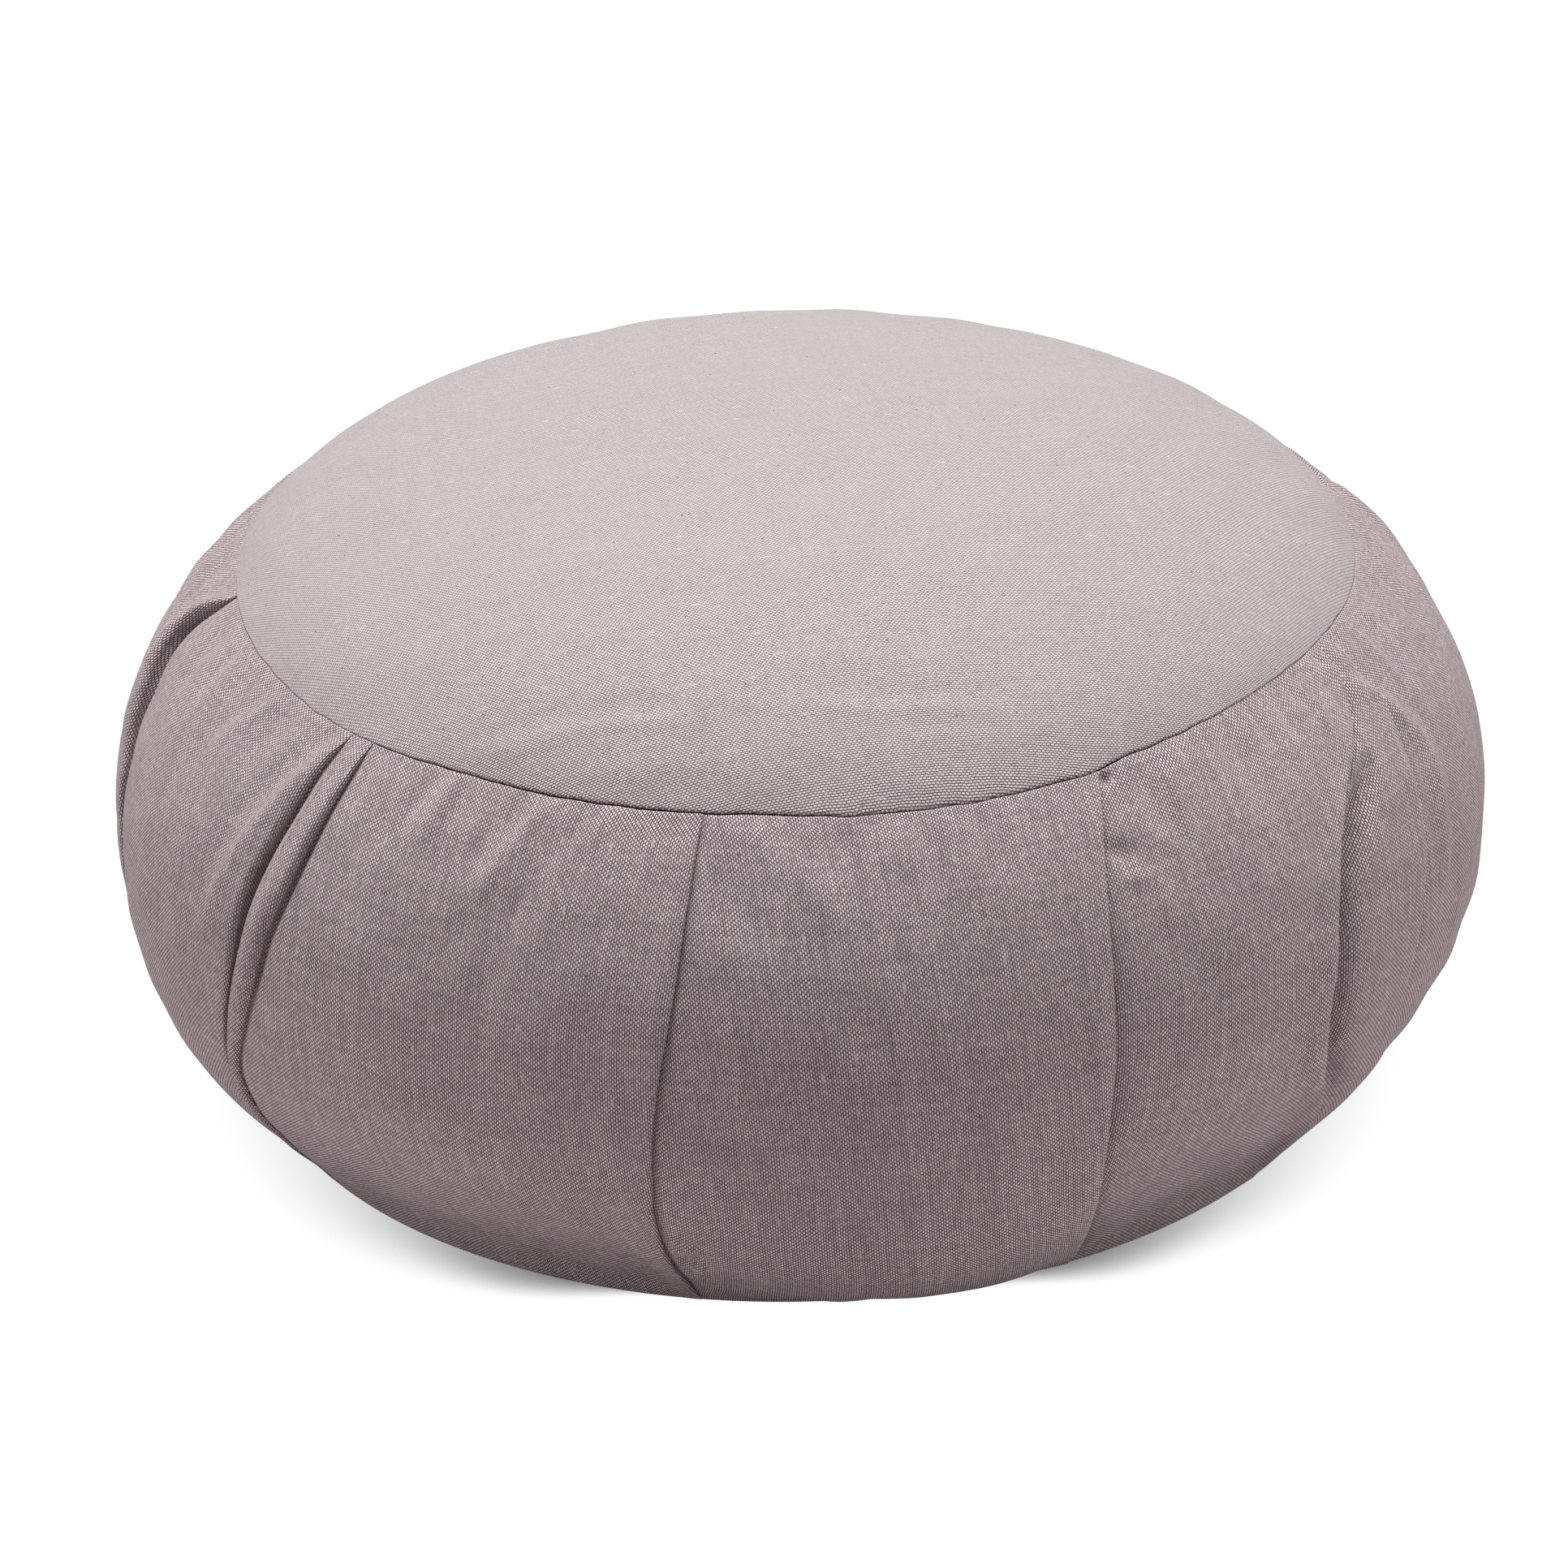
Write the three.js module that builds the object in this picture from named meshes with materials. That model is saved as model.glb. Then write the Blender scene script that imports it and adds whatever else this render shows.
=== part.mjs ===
// A round, filled meditation cushion (zafu): two round panels of canvas joined by one long side band
// that is laid in knife pleats, all drawn tight over the fill.
// Millimetres, +Z up. The front of the cushion looks along -Y and +X is its right-hand side.
import * as THREE from "three";

// Driving dimensions
const WIDEST_RADIUS = 173; // of the band's plain profile, before its panels swell between the pleats
const WIDEST_HEIGHT = 76.5;
const TOP_SEAM_RADIUS = 141.4;
const TOP_SEAM_HEIGHT = 141.6;
const BOTTOM_SEAM_RADIUS = 141;
const BOTTOM_SEAM_HEIGHT = 7.5;
const TOP_CROWN = 34.4; // rise of the top panel above its seam
const CROWN_POWER = 2.4; // of the crown's curve: flat in the middle, steep towards the seam
const CROWN_CUT = 0.95; // share of that curve's radius at which the seam cuts it off
const REST_RADIUS = 114; // of the flat patch that the cushion rests on
const CANVAS = 2; // thickness of a panel with its turned seam
const GAP = 0.3; // between one piece and the next
const TOP_SHIFT = 0.6; // the whole top leans this far to the right
const SWELL = 2; // how far a band panel swells out between two pleats
const PANEL_SKEW = 1.4; // over 1, a panel is fullest nearer to its folded edge on the right
const PANEL_FULLNESS = 0.6; // under 1, the swell reaches further towards the pleats

// The band's profile: how it leaves the top seam, passes its widest line and reaches the bottom seam
const SHOULDER_ANGLE = 39; // degrees below level where the band leaves the top seam
const SHOULDER_PULL = 8;
const WIDEST_PULL_UP = 39;
const WIDEST_PULL_DOWN = 39;
const TUCK_ANGLE = 55; // degrees above level where the band meets the bottom seam
const TUCK_PULL = 18;

// Pleats. The line of each one is given as [mm down the band, azimuth in degrees from the front,
// positive to the right]. The cloth on the left laps over the cloth on the right. lap is how far the
// folded edge stands proud, recess how deep the cloth is beside it, and valley how wide that recess
// is. deepest is how far down the band the pleat opens most, reach how far it stays open from there,
// and rest the share of it left elsewhere. swell and sag are extra bulges of the panel to the right of
// the pleat: at the widest line, and low down where it tucks under.
const PLEATS = [
  {
    line: [[0, -83], [12, -86], [35, -84.4], [54, -82.9], [90, -81], [158, -80]],
    lap: 2.8, recess: 1.6, valley: 5, deepest: 22, reach: 26, rest: 0.12, swell: 0.5, sag: 0,
  },
  {
    line: [[0, -49], [26, -50.9], [40, -52.1], [68, -53.6], [90, -55.6], [125, -57], [158, -57.8]],
    lap: 1.5, recess: 2.9, valley: 5.5, deepest: 42, reach: 28, rest: 0.05, swell: -0.4, sag: 0,
  },
  {
    line: [
      [0, -46], [27, -46.8], [42, -47.8], [56, -49.2], [74, -50.9], [97, -54.4], [125, -56], [158, -56.9],
    ],
    lap: 1.8, recess: 1.3, valley: 3, deepest: 44, reach: 34, rest: 0.05, swell: 0.4, sag: -3,
  },
  {
    line: [[0, -9.2], [40, -10.3], [82, -12.2], [120, -12.5], [158, -10.5]],
    lap: 0.8, recess: 1, valley: 3.5, deepest: 70, reach: 80, rest: 0.4, swell: 0.5, sag: 5.5,
  },
  {
    line: [[0, 30], [13, 28.2], [30, 26.5], [67, 25.1], [102, 24.6], [158, 26.8]],
    lap: 1.3, recess: 2, valley: 6, deepest: 10, reach: 26, rest: 0.38, swell: 0, sag: -3.5,
  },
  {
    line: [
      [0, 65], [24, 58.6], [40, 51.7], [52, 49.2], [66, 47.6], [80, 46.3], [95, 46.9], [119, 50.2], [158, 52.5],
    ],
    lap: 3.2, recess: 9, valley: 6, deepest: 84, reach: 42, rest: 0.04, swell: 0, sag: 0,
  },
  {
    line: [[0, 67.5], [20, 66.6], [42, 64.6], [61, 62.6], [87, 60.4], [120, 61], [158, 61]],
    lap: 0.8, recess: 0.9, valley: 5, deepest: 40, reach: 34, rest: 0.1, swell: 0.8, sag: 0,
  },
  {
    line: [[0, 107], [40, 105], [82, 104], [158, 105]],
    lap: 2, recess: 2.6, valley: 6, deepest: 40, reach: 60, rest: 0.2, swell: 0, sag: 1,
  },
  {
    line: [[0, 149], [40, 148], [82, 146], [158, 147]],
    lap: 1.2, recess: 1.6, valley: 5, deepest: 60, reach: 90, rest: 0.5, swell: 0.6, sag: 0,
  },
  {
    line: [[0, 191], [40, 190], [82, 188], [158, 189]],
    lap: 2.2, recess: 3, valley: 6, deepest: 45, reach: 45, rest: 0.15, swell: 0.2, sag: 0.5,
  },
  {
    line: [[0, 232], [40, 231], [82, 229], [158, 230]],
    lap: 1.2, recess: 2, valley: 5, deepest: 30, reach: 60, rest: 0.4, swell: 0.4, sag: 0,
  },
];
const LIP_ROLL = 5; // how quickly the cloth falls back behind a folded edge

// The larger wrinkles, as ridges (rise over zero) and troughs: half width across in mm, and the line
// that each one follows as [azimuth, mm down the band]
const WRINKLES = [
  { rise: 1.2, width: 2.8, line: [[-23.7, 0], [-25.9, 11], [-27.6, 21], [-28.8, 30]] },
  { rise: 0.9, width: 2.6, line: [[-34.4, 0], [-35.4, 11.5], [-35.8, 21]] },
  { rise: 0.8, width: 3.2, line: [[-16.9, 1], [-20.8, 13], [-23.7, 25]] },
  { rise: -0.9, width: 4.4, line: [[-20.3, 4], [-22.6, 17], [-25, 32], [-26.8, 49], [-26.3, 66]] },
  { rise: -1.6, width: 13, line: [[-31, 26], [-29, 52], [-28, 84]] },
  { rise: 0.9, width: 4, line: [[-7, 2], [-4.9, 5.5], [-2, 11], [0.9, 18], [3, 27]] },
  { rise: -0.9, width: 5, line: [[-7.2, 12], [-5.2, 22], [-2.4, 32]] },
  {
    rise: -7,
    width: 3.2,
    line: [[59.2, 30], [55.4, 38], [51.9, 49], [49.5, 63], [48.3, 78], [48.8, 95], [51.6, 112]],
  },
  { rise: 1.5, width: 3.2, line: [[-49.6, 3.5], [-52.5, 24], [-54.6, 38], [-56.4, 54], [-57, 66]] },
  { rise: -0.9, width: 3.4, line: [[-51.6, 2], [-54.9, 19], [-57.3, 34]] },
  { rise: 2.3, width: 6.5, line: [[-90, 9], [-89, 20], [-87.2, 36], [-85.6, 50]] },
  { rise: 1.2, width: 2.4, line: [[-12.2, 120], [-9.4, 115.5]] },
  { rise: 1.1, width: 2.6, line: [[-11.6, 133], [-8.4, 128]] },
];
const WRINKLE_START = 1.6; // mm from the seam to where a wrinkle stands at its full rise

// Where the fill stands higher under the top seam: azimuth, lift, and spread as a share of a half turn
const MOUNDS = [
  { azimuth: -130, lift: 1.3, spread: 0.3 },
  { azimuth: 60, lift: 0.6, spread: 0.3 },
];

// Steps of the surfaces
const BAND_STEPS = 24;
const PANEL_COLUMN = 8.6; // mm between columns where the cloth is smooth
const FOLD_COLUMNS = [-4, -0.5, 0.5, 4]; // mm from a pleat's edge, where the surface is stepped
const PANEL_SIDES = 84;
const CROWN_RINGS = 6;
const HEEL_RINGS = 3;

const radians = THREE.MathUtils.degToRad;
const lerp = THREE.MathUtils.lerp;
const smooth = THREE.MathUtils.smoothstep;

// The band's profile as [radius, height], from the top seam to the bottom seam, with its length.
function bandProfile() {
  const shoulder = radians(SHOULDER_ANGLE);
  const tuck = radians(TUCK_ANGLE);
  const start = pastRim(crownPoint(0, 1), -crownSlope(CROWN_CUT));
  const widest = new THREE.Vector2(WIDEST_RADIUS, WIDEST_HEIGHT);
  const end = pastRim(heelPoint(0, 1), heelArc().angle);
  const along = (from, length, angle) =>
    from.clone().add(new THREE.Vector2(Math.cos(angle), Math.sin(angle)).multiplyScalar(length));
  const path = new THREE.CurvePath();
  path.add(new THREE.CubicBezierCurve(
    start, along(start, SHOULDER_PULL, -shoulder), along(widest, WIDEST_PULL_UP, Math.PI / 2), widest,
  ));
  path.add(new THREE.CubicBezierCurve(
    widest, along(widest, WIDEST_PULL_DOWN, -Math.PI / 2), along(end, TUCK_PULL, tuck), end,
  ));
  return path;
}

// The bottom panel's curved heel: an arc that rises from the floor, tangent to it, to the bottom seam.
function heelArc() {
  const run = BOTTOM_SEAM_RADIUS - REST_RADIUS;
  const radius = (run * run + BOTTOM_SEAM_HEIGHT * BOTTOM_SEAM_HEIGHT) / (2 * BOTTOM_SEAM_HEIGHT);
  return { radius, angle: Math.asin(run / radius) };
}

// A point of the heel, inside the canvas by depth, at a share of the arc from 0 (floor) to 1 (seam).
function heelPoint(depth, share) {
  const arc = heelArc();
  const turn = arc.angle * share;
  const reach = arc.radius - depth;
  return new THREE.Vector2(REST_RADIUS + reach * Math.sin(turn), arc.radius - reach * Math.cos(turn));
}

// The crown's curve, a superellipse: height 1 at the middle and 0 at radius 1.
const crownHeight = (radius) => (1 - radius ** CROWN_POWER) ** (1 / CROWN_POWER);

// A point of the crowned top, inside the canvas by depth, at a share of the way from the crest (0) to
// the seam (1). There the crown is steepest, and meets the band at a shallow crease.
function crownPoint(depth, share) {
  const reach = CROWN_CUT * Math.sin(share * Math.PI / 2);
  const scale = TOP_CROWN / (1 - crownHeight(CROWN_CUT));
  const height = TOP_SEAM_HEIGHT + scale * (crownHeight(reach) - crownHeight(CROWN_CUT));
  const slope = crownSlope(reach);
  return new THREE.Vector2(
    (TOP_SEAM_RADIUS * reach) / CROWN_CUT - depth * Math.sin(slope),
    height - depth * Math.cos(slope),
  );
}

// How steeply the crown falls, as an angle below level, where its curve's radius is reach.
function crownSlope(reach) {
  const scale = TOP_CROWN / (1 - crownHeight(CROWN_CUT));
  const fall = reach ** (CROWN_POWER - 1) * (1 - reach ** CROWN_POWER) ** (1 / CROWN_POWER - 1);
  return Math.atan((fall * scale * CROWN_CUT) / TOP_SEAM_RADIUS);
}

// A profile point moved along the crown or the heel by the gap, away from a panel's rim.
function pastRim(point, angle) {
  return new THREE.Vector2(point.x + GAP * Math.cos(angle), point.y + GAP * Math.sin(angle));
}

const profile = bandProfile();
const profileLength = profile.getLength();
// Where a pleat's line runs, as an azimuth in radians, at a share of the way down the band.
for (const pleat of PLEATS) {
  const shares = pleat.line.map(([down]) => down / profileLength);
  const azimuths = pleat.line.map(([, azimuth]) => radians(azimuth));
  pleat.curve = new THREE.CubicInterpolant(shares, azimuths, 1, new Float64Array(1));
}
const lineAt = (index, share) => {
  const turns = Math.floor(index / PLEATS.length);
  const pleat = PLEATS[index - turns * PLEATS.length];
  return pleat.curve.evaluate(share)[0] + turns * 2 * Math.PI;
};

// Columns of the band's surface. Each keeps to its place between two pleat lines all the way down,
// so a pleat's step stays sharp however the line leans.
function bandColumns() {
  const columns = [];
  PLEATS.forEach((pleat, index) => {
    const width = (lineAt(index + 1, 0.5) - lineAt(index, 0.5)) * WIDEST_RADIUS;
    const between = Math.max(0, Math.round(width / PANEL_COLUMN) - 1);
    columns.push({ index, share: 0, offset: FOLD_COLUMNS[2] });
    columns.push({ index, share: 0, offset: FOLD_COLUMNS[3] });
    for (let step = 1; step <= between; step++) {
      columns.push({ index, share: step / (between + 1), offset: 0 });
    }
    columns.push({ index, share: 1, offset: FOLD_COLUMNS[0] });
    columns.push({ index, share: 1, offset: FOLD_COLUMNS[1] });
  });
  return columns;
}

// A column's azimuth at a share of the way down. Its offset shrinks where two lines run close.
function columnAzimuth(column, share) {
  const left = lineAt(column.index, share);
  const right = lineAt(column.index + 1, share);
  const room = (right - left) * WIDEST_RADIUS * 0.3;
  const offset = Math.sign(column.offset) * Math.min(Math.abs(column.offset), room);
  const spread = lerp(left, right, column.share);
  return spread + offset / WIDEST_RADIUS;
}

// How far the cloth stands out from the plain profile, at an azimuth and a share of the way down.
function relief(column, azimuth, share) {
  const down = share * profileLength;
  const free = smooth(down, 0, 8) * smooth(profileLength - down, 0, 10);
  let out = 0;
  for (let index = -1; index <= PLEATS.length; index++) {
    const pleat = PLEATS[(index + PLEATS.length) % PLEATS.length];
    const beside = (azimuth - lineAt(index, share)) * WIDEST_RADIUS;
    const open = lerp(pleat.rest, 1, Math.exp(-(((down - pleat.deepest) / pleat.reach) ** 2)));
    if (beside < 0) out += pleat.lap * open * (0.25 + 0.75 * free) * Math.exp(beside / LIP_ROLL);
    else if (beside < pleat.valley) out -= pleat.recess * open * free * (1 - beside / pleat.valley) ** 2;
  }
  const sewn = smooth(down, 0, WRINKLE_START) * smooth(profileLength - down, 0, 8);
  for (const wrinkle of WRINKLES) {
    const { distance, along } = fromLine(azimuth, down, wrinkle.line);
    const taper = 1 - 0.75 * (2 * along - 1) ** 4;
    out += wrinkle.rise * taper * sewn * Math.exp(-((distance / wrinkle.width) ** 2));
  }
  const pleat = PLEATS[column.index];
  const middle = Math.sin(Math.PI * across(column, azimuth, share) ** PANEL_SKEW) ** PANEL_FULLNESS;
  out += (SWELL + pleat.swell) * middle * Math.sin(Math.PI * share);
  out += pleat.sag * middle * Math.exp(-(((share - 0.85) / 0.16) ** 2)) * free;
  return out;
}

// Distance in mm of a place on the band from a bent line, and the share of the line, from 0 to 1, at
// which its nearest point lies.
function fromLine(azimuth, down, line) {
  const start = radians(line[0][0]);
  const turned = THREE.MathUtils.euclideanModulo(azimuth - start + Math.PI, 2 * Math.PI) - Math.PI;
  const here = new THREE.Vector3(turned * WIDEST_RADIUS, down, 0);
  const corners = line.map(
    ([degrees, mm]) => new THREE.Vector3((radians(degrees) - start) * WIDEST_RADIUS, mm, 0),
  );
  const nearest = new THREE.Vector3();
  let best = { distance: Infinity, along: 0 };
  for (let step = 0; step + 1 < corners.length; step++) {
    const stretch = new THREE.Line3(corners[step], corners[step + 1]);
    const t = stretch.closestPointToPointParameter(here, true);
    const distance = stretch.at(t, nearest).distanceTo(here);
    if (distance < best.distance) best = { distance, along: (step + t) / (corners.length - 1) };
  }
  return best;
}

// How far across its panel an azimuth lies, from 0 at the pleat on its left to 1 at the next one.
function across(column, azimuth, share) {
  const left = lineAt(column.index, share);
  const right = lineAt(column.index + 1, share);
  return THREE.MathUtils.clamp((azimuth - left) / (right - left), 0, 1);
}

// The fill is not quite even: the cushion leans a little to the right, more the higher it is, and its
// rim is fuller where MOUNDS says.
function settle(azimuth, radius, height) {
  const rise = (height / TOP_SEAM_HEIGHT) ** 2;
  const lean = TOP_SHIFT * rise;
  let lift = 0;
  for (const mound of MOUNDS) {
    const beside = 1 - Math.cos(azimuth - radians(mound.azimuth));
    lift += mound.lift * rise * (radius / TOP_SEAM_RADIUS) ** 2 * Math.exp(-beside / mound.spread);
  }
  return [radius * Math.sin(azimuth) + lean, -radius * Math.cos(azimuth), height + lift];
}

// One closed mesh from rows of points, each row a closed ring, with a single point at each end.
function closedRings(name, first, rows, last, material) {
  const positions = [...first, ...rows.flat(2), ...last];
  const sides = rows[0].length;
  const start = (row) => 1 + row * sides;
  const index = [];
  for (let side = 0; side < sides; side++) {
    const next = (side + 1) % sides;
    index.push(0, start(0) + side, start(0) + next);
    for (let row = 0; row + 1 < rows.length; row++) {
      const a = start(row) + side;
      const b = start(row) + next;
      const c = start(row + 1) + side;
      const d = start(row + 1) + next;
      index.push(a, c, b, b, c, d);
    }
    const base = start(rows.length - 1);
    index.push(base + side, 1 + rows.length * sides, base + next);
  }
  const geometry = new THREE.BufferGeometry();
  geometry.setAttribute("position", new THREE.Float32BufferAttribute(positions, 3));
  geometry.setIndex(index);
  geometry.computeVertexNormals();
  const mesh = new THREE.Mesh(geometry, material);
  mesh.name = name;
  return mesh;
}

// A plain ring of a profile point, with even sides.
function evenRing(point) {
  const ring = [];
  for (let side = 0; side < PANEL_SIDES; side++) {
    ring.push(settle((2 * Math.PI * side) / PANEL_SIDES, point.x, point.y));
  }
  return ring;
}

// A panel from the profile points of its upper face, from the middle out, and of its lower face,
// from the rim in. The middle point of each face lies on the axis.
function panel(name, upperMiddle, upper, lower, lowerMiddle, material) {
  const rows = [...upper, ...lower].map(evenRing);
  return closedRings(name, settle(0, 0, upperMiddle), rows, settle(0, 0, lowerMiddle), material);
}

const ringShares = (count) => Array.from({ length: count }, (_, ring) => (ring + 1) / count);

function topPanel(material) {
  const outer = ringShares(CROWN_RINGS).map((share) => crownPoint(0, share));
  const inner = ringShares(CROWN_RINGS).map((share) => crownPoint(CANVAS, share));
  const crest = TOP_SEAM_HEIGHT + TOP_CROWN;
  return panel("top_panel", crest, outer, inner.reverse(), crest - CANVAS, material);
}

function bottomPanel(material) {
  const shares = [0, ...ringShares(HEEL_RINGS)];
  const outer = shares.map((share) => heelPoint(0, share));
  const inner = shares.map((share) => heelPoint(CANVAS, share));
  return panel("bottom_panel", CANVAS, inner, outer.reverse(), 0, material);
}

// The pleated band with the fill it holds: the crowned top under the top panel, the band's outer
// face, and the underside over the bottom panel.
function sideBand(material) {
  const columns = bandColumns();
  const plain = (point) =>
    columns.map((column) => settle(columnAzimuth(column, 0), point.x, point.y));
  const plainBelow = (point) =>
    columns.map((column) => settle(columnAzimuth(column, 1), point.x, point.y));
  const inset = CANVAS + GAP;
  const rows = ringShares(CROWN_RINGS).map((share) => plain(crownPoint(inset, share)));
  rows.push(plain(pastRim(crownPoint(inset, 1), -crownSlope(CROWN_CUT))));
  for (let step = 0; step <= BAND_STEPS; step++) {
    const share = step / BAND_STEPS;
    const at = profile.getPointAt(share);
    const slope = profile.getTangentAt(share);
    rows.push(columns.map((column) => {
      const azimuth = columnAzimuth(column, share);
      const out = relief(column, azimuth, share);
      return settle(azimuth, at.x - slope.y * out, at.y + slope.x * out);
    }));
  }
  rows.push(plainBelow(pastRim(heelPoint(inset, 1), heelArc().angle)));
  for (const share of [0.5, 0]) rows.push(plainBelow(heelPoint(inset, share)));
  const crest = TOP_SEAM_HEIGHT + TOP_CROWN - inset;
  return closedRings("side_band", settle(0, 0, crest), rows, settle(0, 0, inset), material);
}

function canvasMaterial(name, color) {
  return new THREE.MeshStandardMaterial({ name, color, roughness: 0.92, metalness: 0 });
}

const cushion = new THREE.Group();
cushion.name = "zafu";
cushion.add(
  topPanel(canvasMaterial("panel canvas", 0xc4b8b9)),
  sideBand(canvasMaterial("band canvas", 0xa8989b)),
  bottomPanel(canvasMaterial("base canvas", 0x9c8d90)),
);

// The group stands with the middle of its outline over the origin.
const outline = new THREE.Box3().setFromObject(cushion);
const middle = outline.getCenter(new THREE.Vector3());
cushion.position.set(-middle.x, -middle.y, 0);

export default cushion;
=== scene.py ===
# %% [markdown]
# # A pleated meditation cushion
#
# The cushion is a zafu: two round panels of canvas and one long side band, laid in knife pleats, all
# drawn tight over a loose fill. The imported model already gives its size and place. This script loads
# it, and dresses it: it makes the cloth with its folds, seams and weave, then the light and the camera.
# Loading comes first, because every later piece has to stand inside that frame.

# %% Load the frame
import math

import bpy
import numpy as np
from mathutils import Matrix, Vector


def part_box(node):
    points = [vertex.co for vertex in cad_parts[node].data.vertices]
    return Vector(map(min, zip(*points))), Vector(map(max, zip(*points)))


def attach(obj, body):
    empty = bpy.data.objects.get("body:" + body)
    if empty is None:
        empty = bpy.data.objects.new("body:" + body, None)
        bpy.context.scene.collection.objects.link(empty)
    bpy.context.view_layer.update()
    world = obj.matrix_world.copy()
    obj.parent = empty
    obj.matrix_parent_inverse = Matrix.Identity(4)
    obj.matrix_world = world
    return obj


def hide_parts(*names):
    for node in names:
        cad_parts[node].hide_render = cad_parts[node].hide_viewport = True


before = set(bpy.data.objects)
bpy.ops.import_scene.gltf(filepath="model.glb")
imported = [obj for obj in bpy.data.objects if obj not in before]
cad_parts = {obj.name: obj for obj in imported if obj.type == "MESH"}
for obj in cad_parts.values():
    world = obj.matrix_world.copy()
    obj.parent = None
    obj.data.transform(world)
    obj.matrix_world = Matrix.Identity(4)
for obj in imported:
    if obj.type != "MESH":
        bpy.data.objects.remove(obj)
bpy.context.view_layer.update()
print("nodes:", sorted(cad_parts))

# %% [markdown]
# ## Camera
#
# The camera could be placed by eye, but a long lens hides small errors in the angle and shows them
# again in every curve. So its height, turn and framing were worked out from the cushion's outline: it
# stands 1.8 m away, looks down 26.9 degrees, and is turned a degree and a half about its own axis.

# %% Camera
VIEW_DISTANCE = 1.8
VIEW_ELEVATION = math.radians(26.86)
VIEW_TURN = math.radians(-1.56)
LENS = 161.0
AIM = Vector((0.0, 0.0, 0.08))
SHIFT = (-0.0094, -0.0062)


def aimed(place, target, turn=0.0):
    """The matrix of a camera or lamp at place that looks at target: its own -Z points there, and it is
    then turned about that line."""
    facing = (Vector(target) - Vector(place)).to_track_quat("-Z", "Y").to_matrix().to_4x4()
    return Matrix.Translation(place) @ facing @ Matrix.Rotation(turn, 4, "Z")


def placed(name, data):
    """A new object in the scene, made from a mesh, a lamp or a camera's lens."""
    made = bpy.data.objects.new(name, data)
    bpy.context.scene.collection.objects.link(made)
    return made


lens = bpy.data.cameras.new("camera")
lens.lens = LENS
lens.sensor_width = 36.0
lens.shift_x, lens.shift_y = SHIFT
camera = placed("camera", lens)
eye = AIM + VIEW_DISTANCE * Vector((0.0, -math.cos(VIEW_ELEVATION), math.sin(VIEW_ELEVATION)))
camera.matrix_world = aimed(eye, AIM, VIEW_TURN)
bpy.context.scene.camera = camera
print("camera at", [round(v, 3) for v in eye])

# %% [markdown]
# ## The cushion's sizes
#
# These are the same named sizes that the solids were made from, in millimetres. Repeating them here
# keeps the cloth on the solids. The front faces -Y, an azimuth is an angle from the front, positive to
# the right, and "down" is the distance along the band from the top seam.

# %% Sizes of the whole cushion
MM = 0.001
WIDEST_RADIUS = 173.0
WIDEST_HEIGHT = 76.5
TOP_SEAM_RADIUS = 141.4
TOP_SEAM_HEIGHT = 141.6
BOTTOM_SEAM_RADIUS = 141.0
BOTTOM_SEAM_HEIGHT = 7.5
TOP_CROWN = 34.4
CROWN_POWER = 2.4
CROWN_CUT = 0.95
REST_RADIUS = 114.0
CANVAS = 2.0
GAP = 0.3
TOP_SHIFT = 0.6
SHOULDER_ANGLE, SHOULDER_PULL = math.radians(39), 8.0
WIDEST_PULL_UP = WIDEST_PULL_DOWN = 39.0
TUCK_ANGLE, TUCK_PULL = math.radians(55), 18.0

# %% The crown and the heel


def crown_height(reach):
    """Height of the crown's curve, a superellipse: (1 - reach^n)^(1/n), 1 in the middle and 0 at
    reach 1."""
    return (1 - reach**CROWN_POWER) ** (1 / CROWN_POWER)


CROWN_SCALE = TOP_CROWN / (1 - crown_height(CROWN_CUT))


def crown_slope(reach):
    """How steeply the crown falls, as an angle below level: the arctangent of its curve's slope."""
    fall = reach ** (CROWN_POWER - 1) * (1 - reach**CROWN_POWER) ** (1 / CROWN_POWER - 1)
    return np.arctan(fall * CROWN_SCALE * CROWN_CUT / TOP_SEAM_RADIUS)


def crown_point(share, depth=0.0):
    """Radius and height on the top panel at a share of the way from the crest to the seam, moved
    inwards by depth along the surface's own normal."""
    reach = CROWN_CUT * np.sin(share * np.pi / 2)
    height = TOP_SEAM_HEIGHT + CROWN_SCALE * (crown_height(reach) - crown_height(CROWN_CUT))
    slope = crown_slope(reach)
    radius = TOP_SEAM_RADIUS * reach / CROWN_CUT
    return np.stack([radius - depth * np.sin(slope), height - depth * np.cos(slope)], -1)


HEEL_RUN = BOTTOM_SEAM_RADIUS - REST_RADIUS
HEEL_RADIUS = (HEEL_RUN**2 + BOTTOM_SEAM_HEIGHT**2) / (2 * BOTTOM_SEAM_HEIGHT)
HEEL_ANGLE = math.asin(HEEL_RUN / HEEL_RADIUS)


def heel_point(share, depth=0.0):
    """Radius and height on the bottom panel's curved heel, an arc tangent to the floor, at a share of
    the way out to the seam, moved inwards by depth."""
    turn = HEEL_ANGLE * np.asarray(share)
    reach = HEEL_RADIUS - depth
    return np.stack([REST_RADIUS + reach * np.sin(turn), HEEL_RADIUS - reach * np.cos(turn)], -1)


print("crown falls", round(math.degrees(crown_slope(CROWN_CUT)), 1), "degrees at the seam")

# %% The band's profile


def bezier(a, b, c, d, steps=400):
    """Points of a cubic curve from a to d that is pulled towards b and c on the way."""
    t = np.linspace(0, 1, steps)[:, None]
    return (1 - t) ** 3 * a + 3 * (1 - t) ** 2 * t * b + 3 * (1 - t) * t**2 * c + t**3 * d


def away(point, length, angle):
    """The point at a length from another one, in the direction of an angle above level."""
    return np.asarray(point) + length * np.array([math.cos(angle), math.sin(angle)])


def running_length(points):
    """The length along a bent line at each of its points: the sum of the steps up to it."""
    return np.concatenate([[0.0], np.cumsum(np.linalg.norm(np.diff(points, axis=0), axis=1))])


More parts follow.
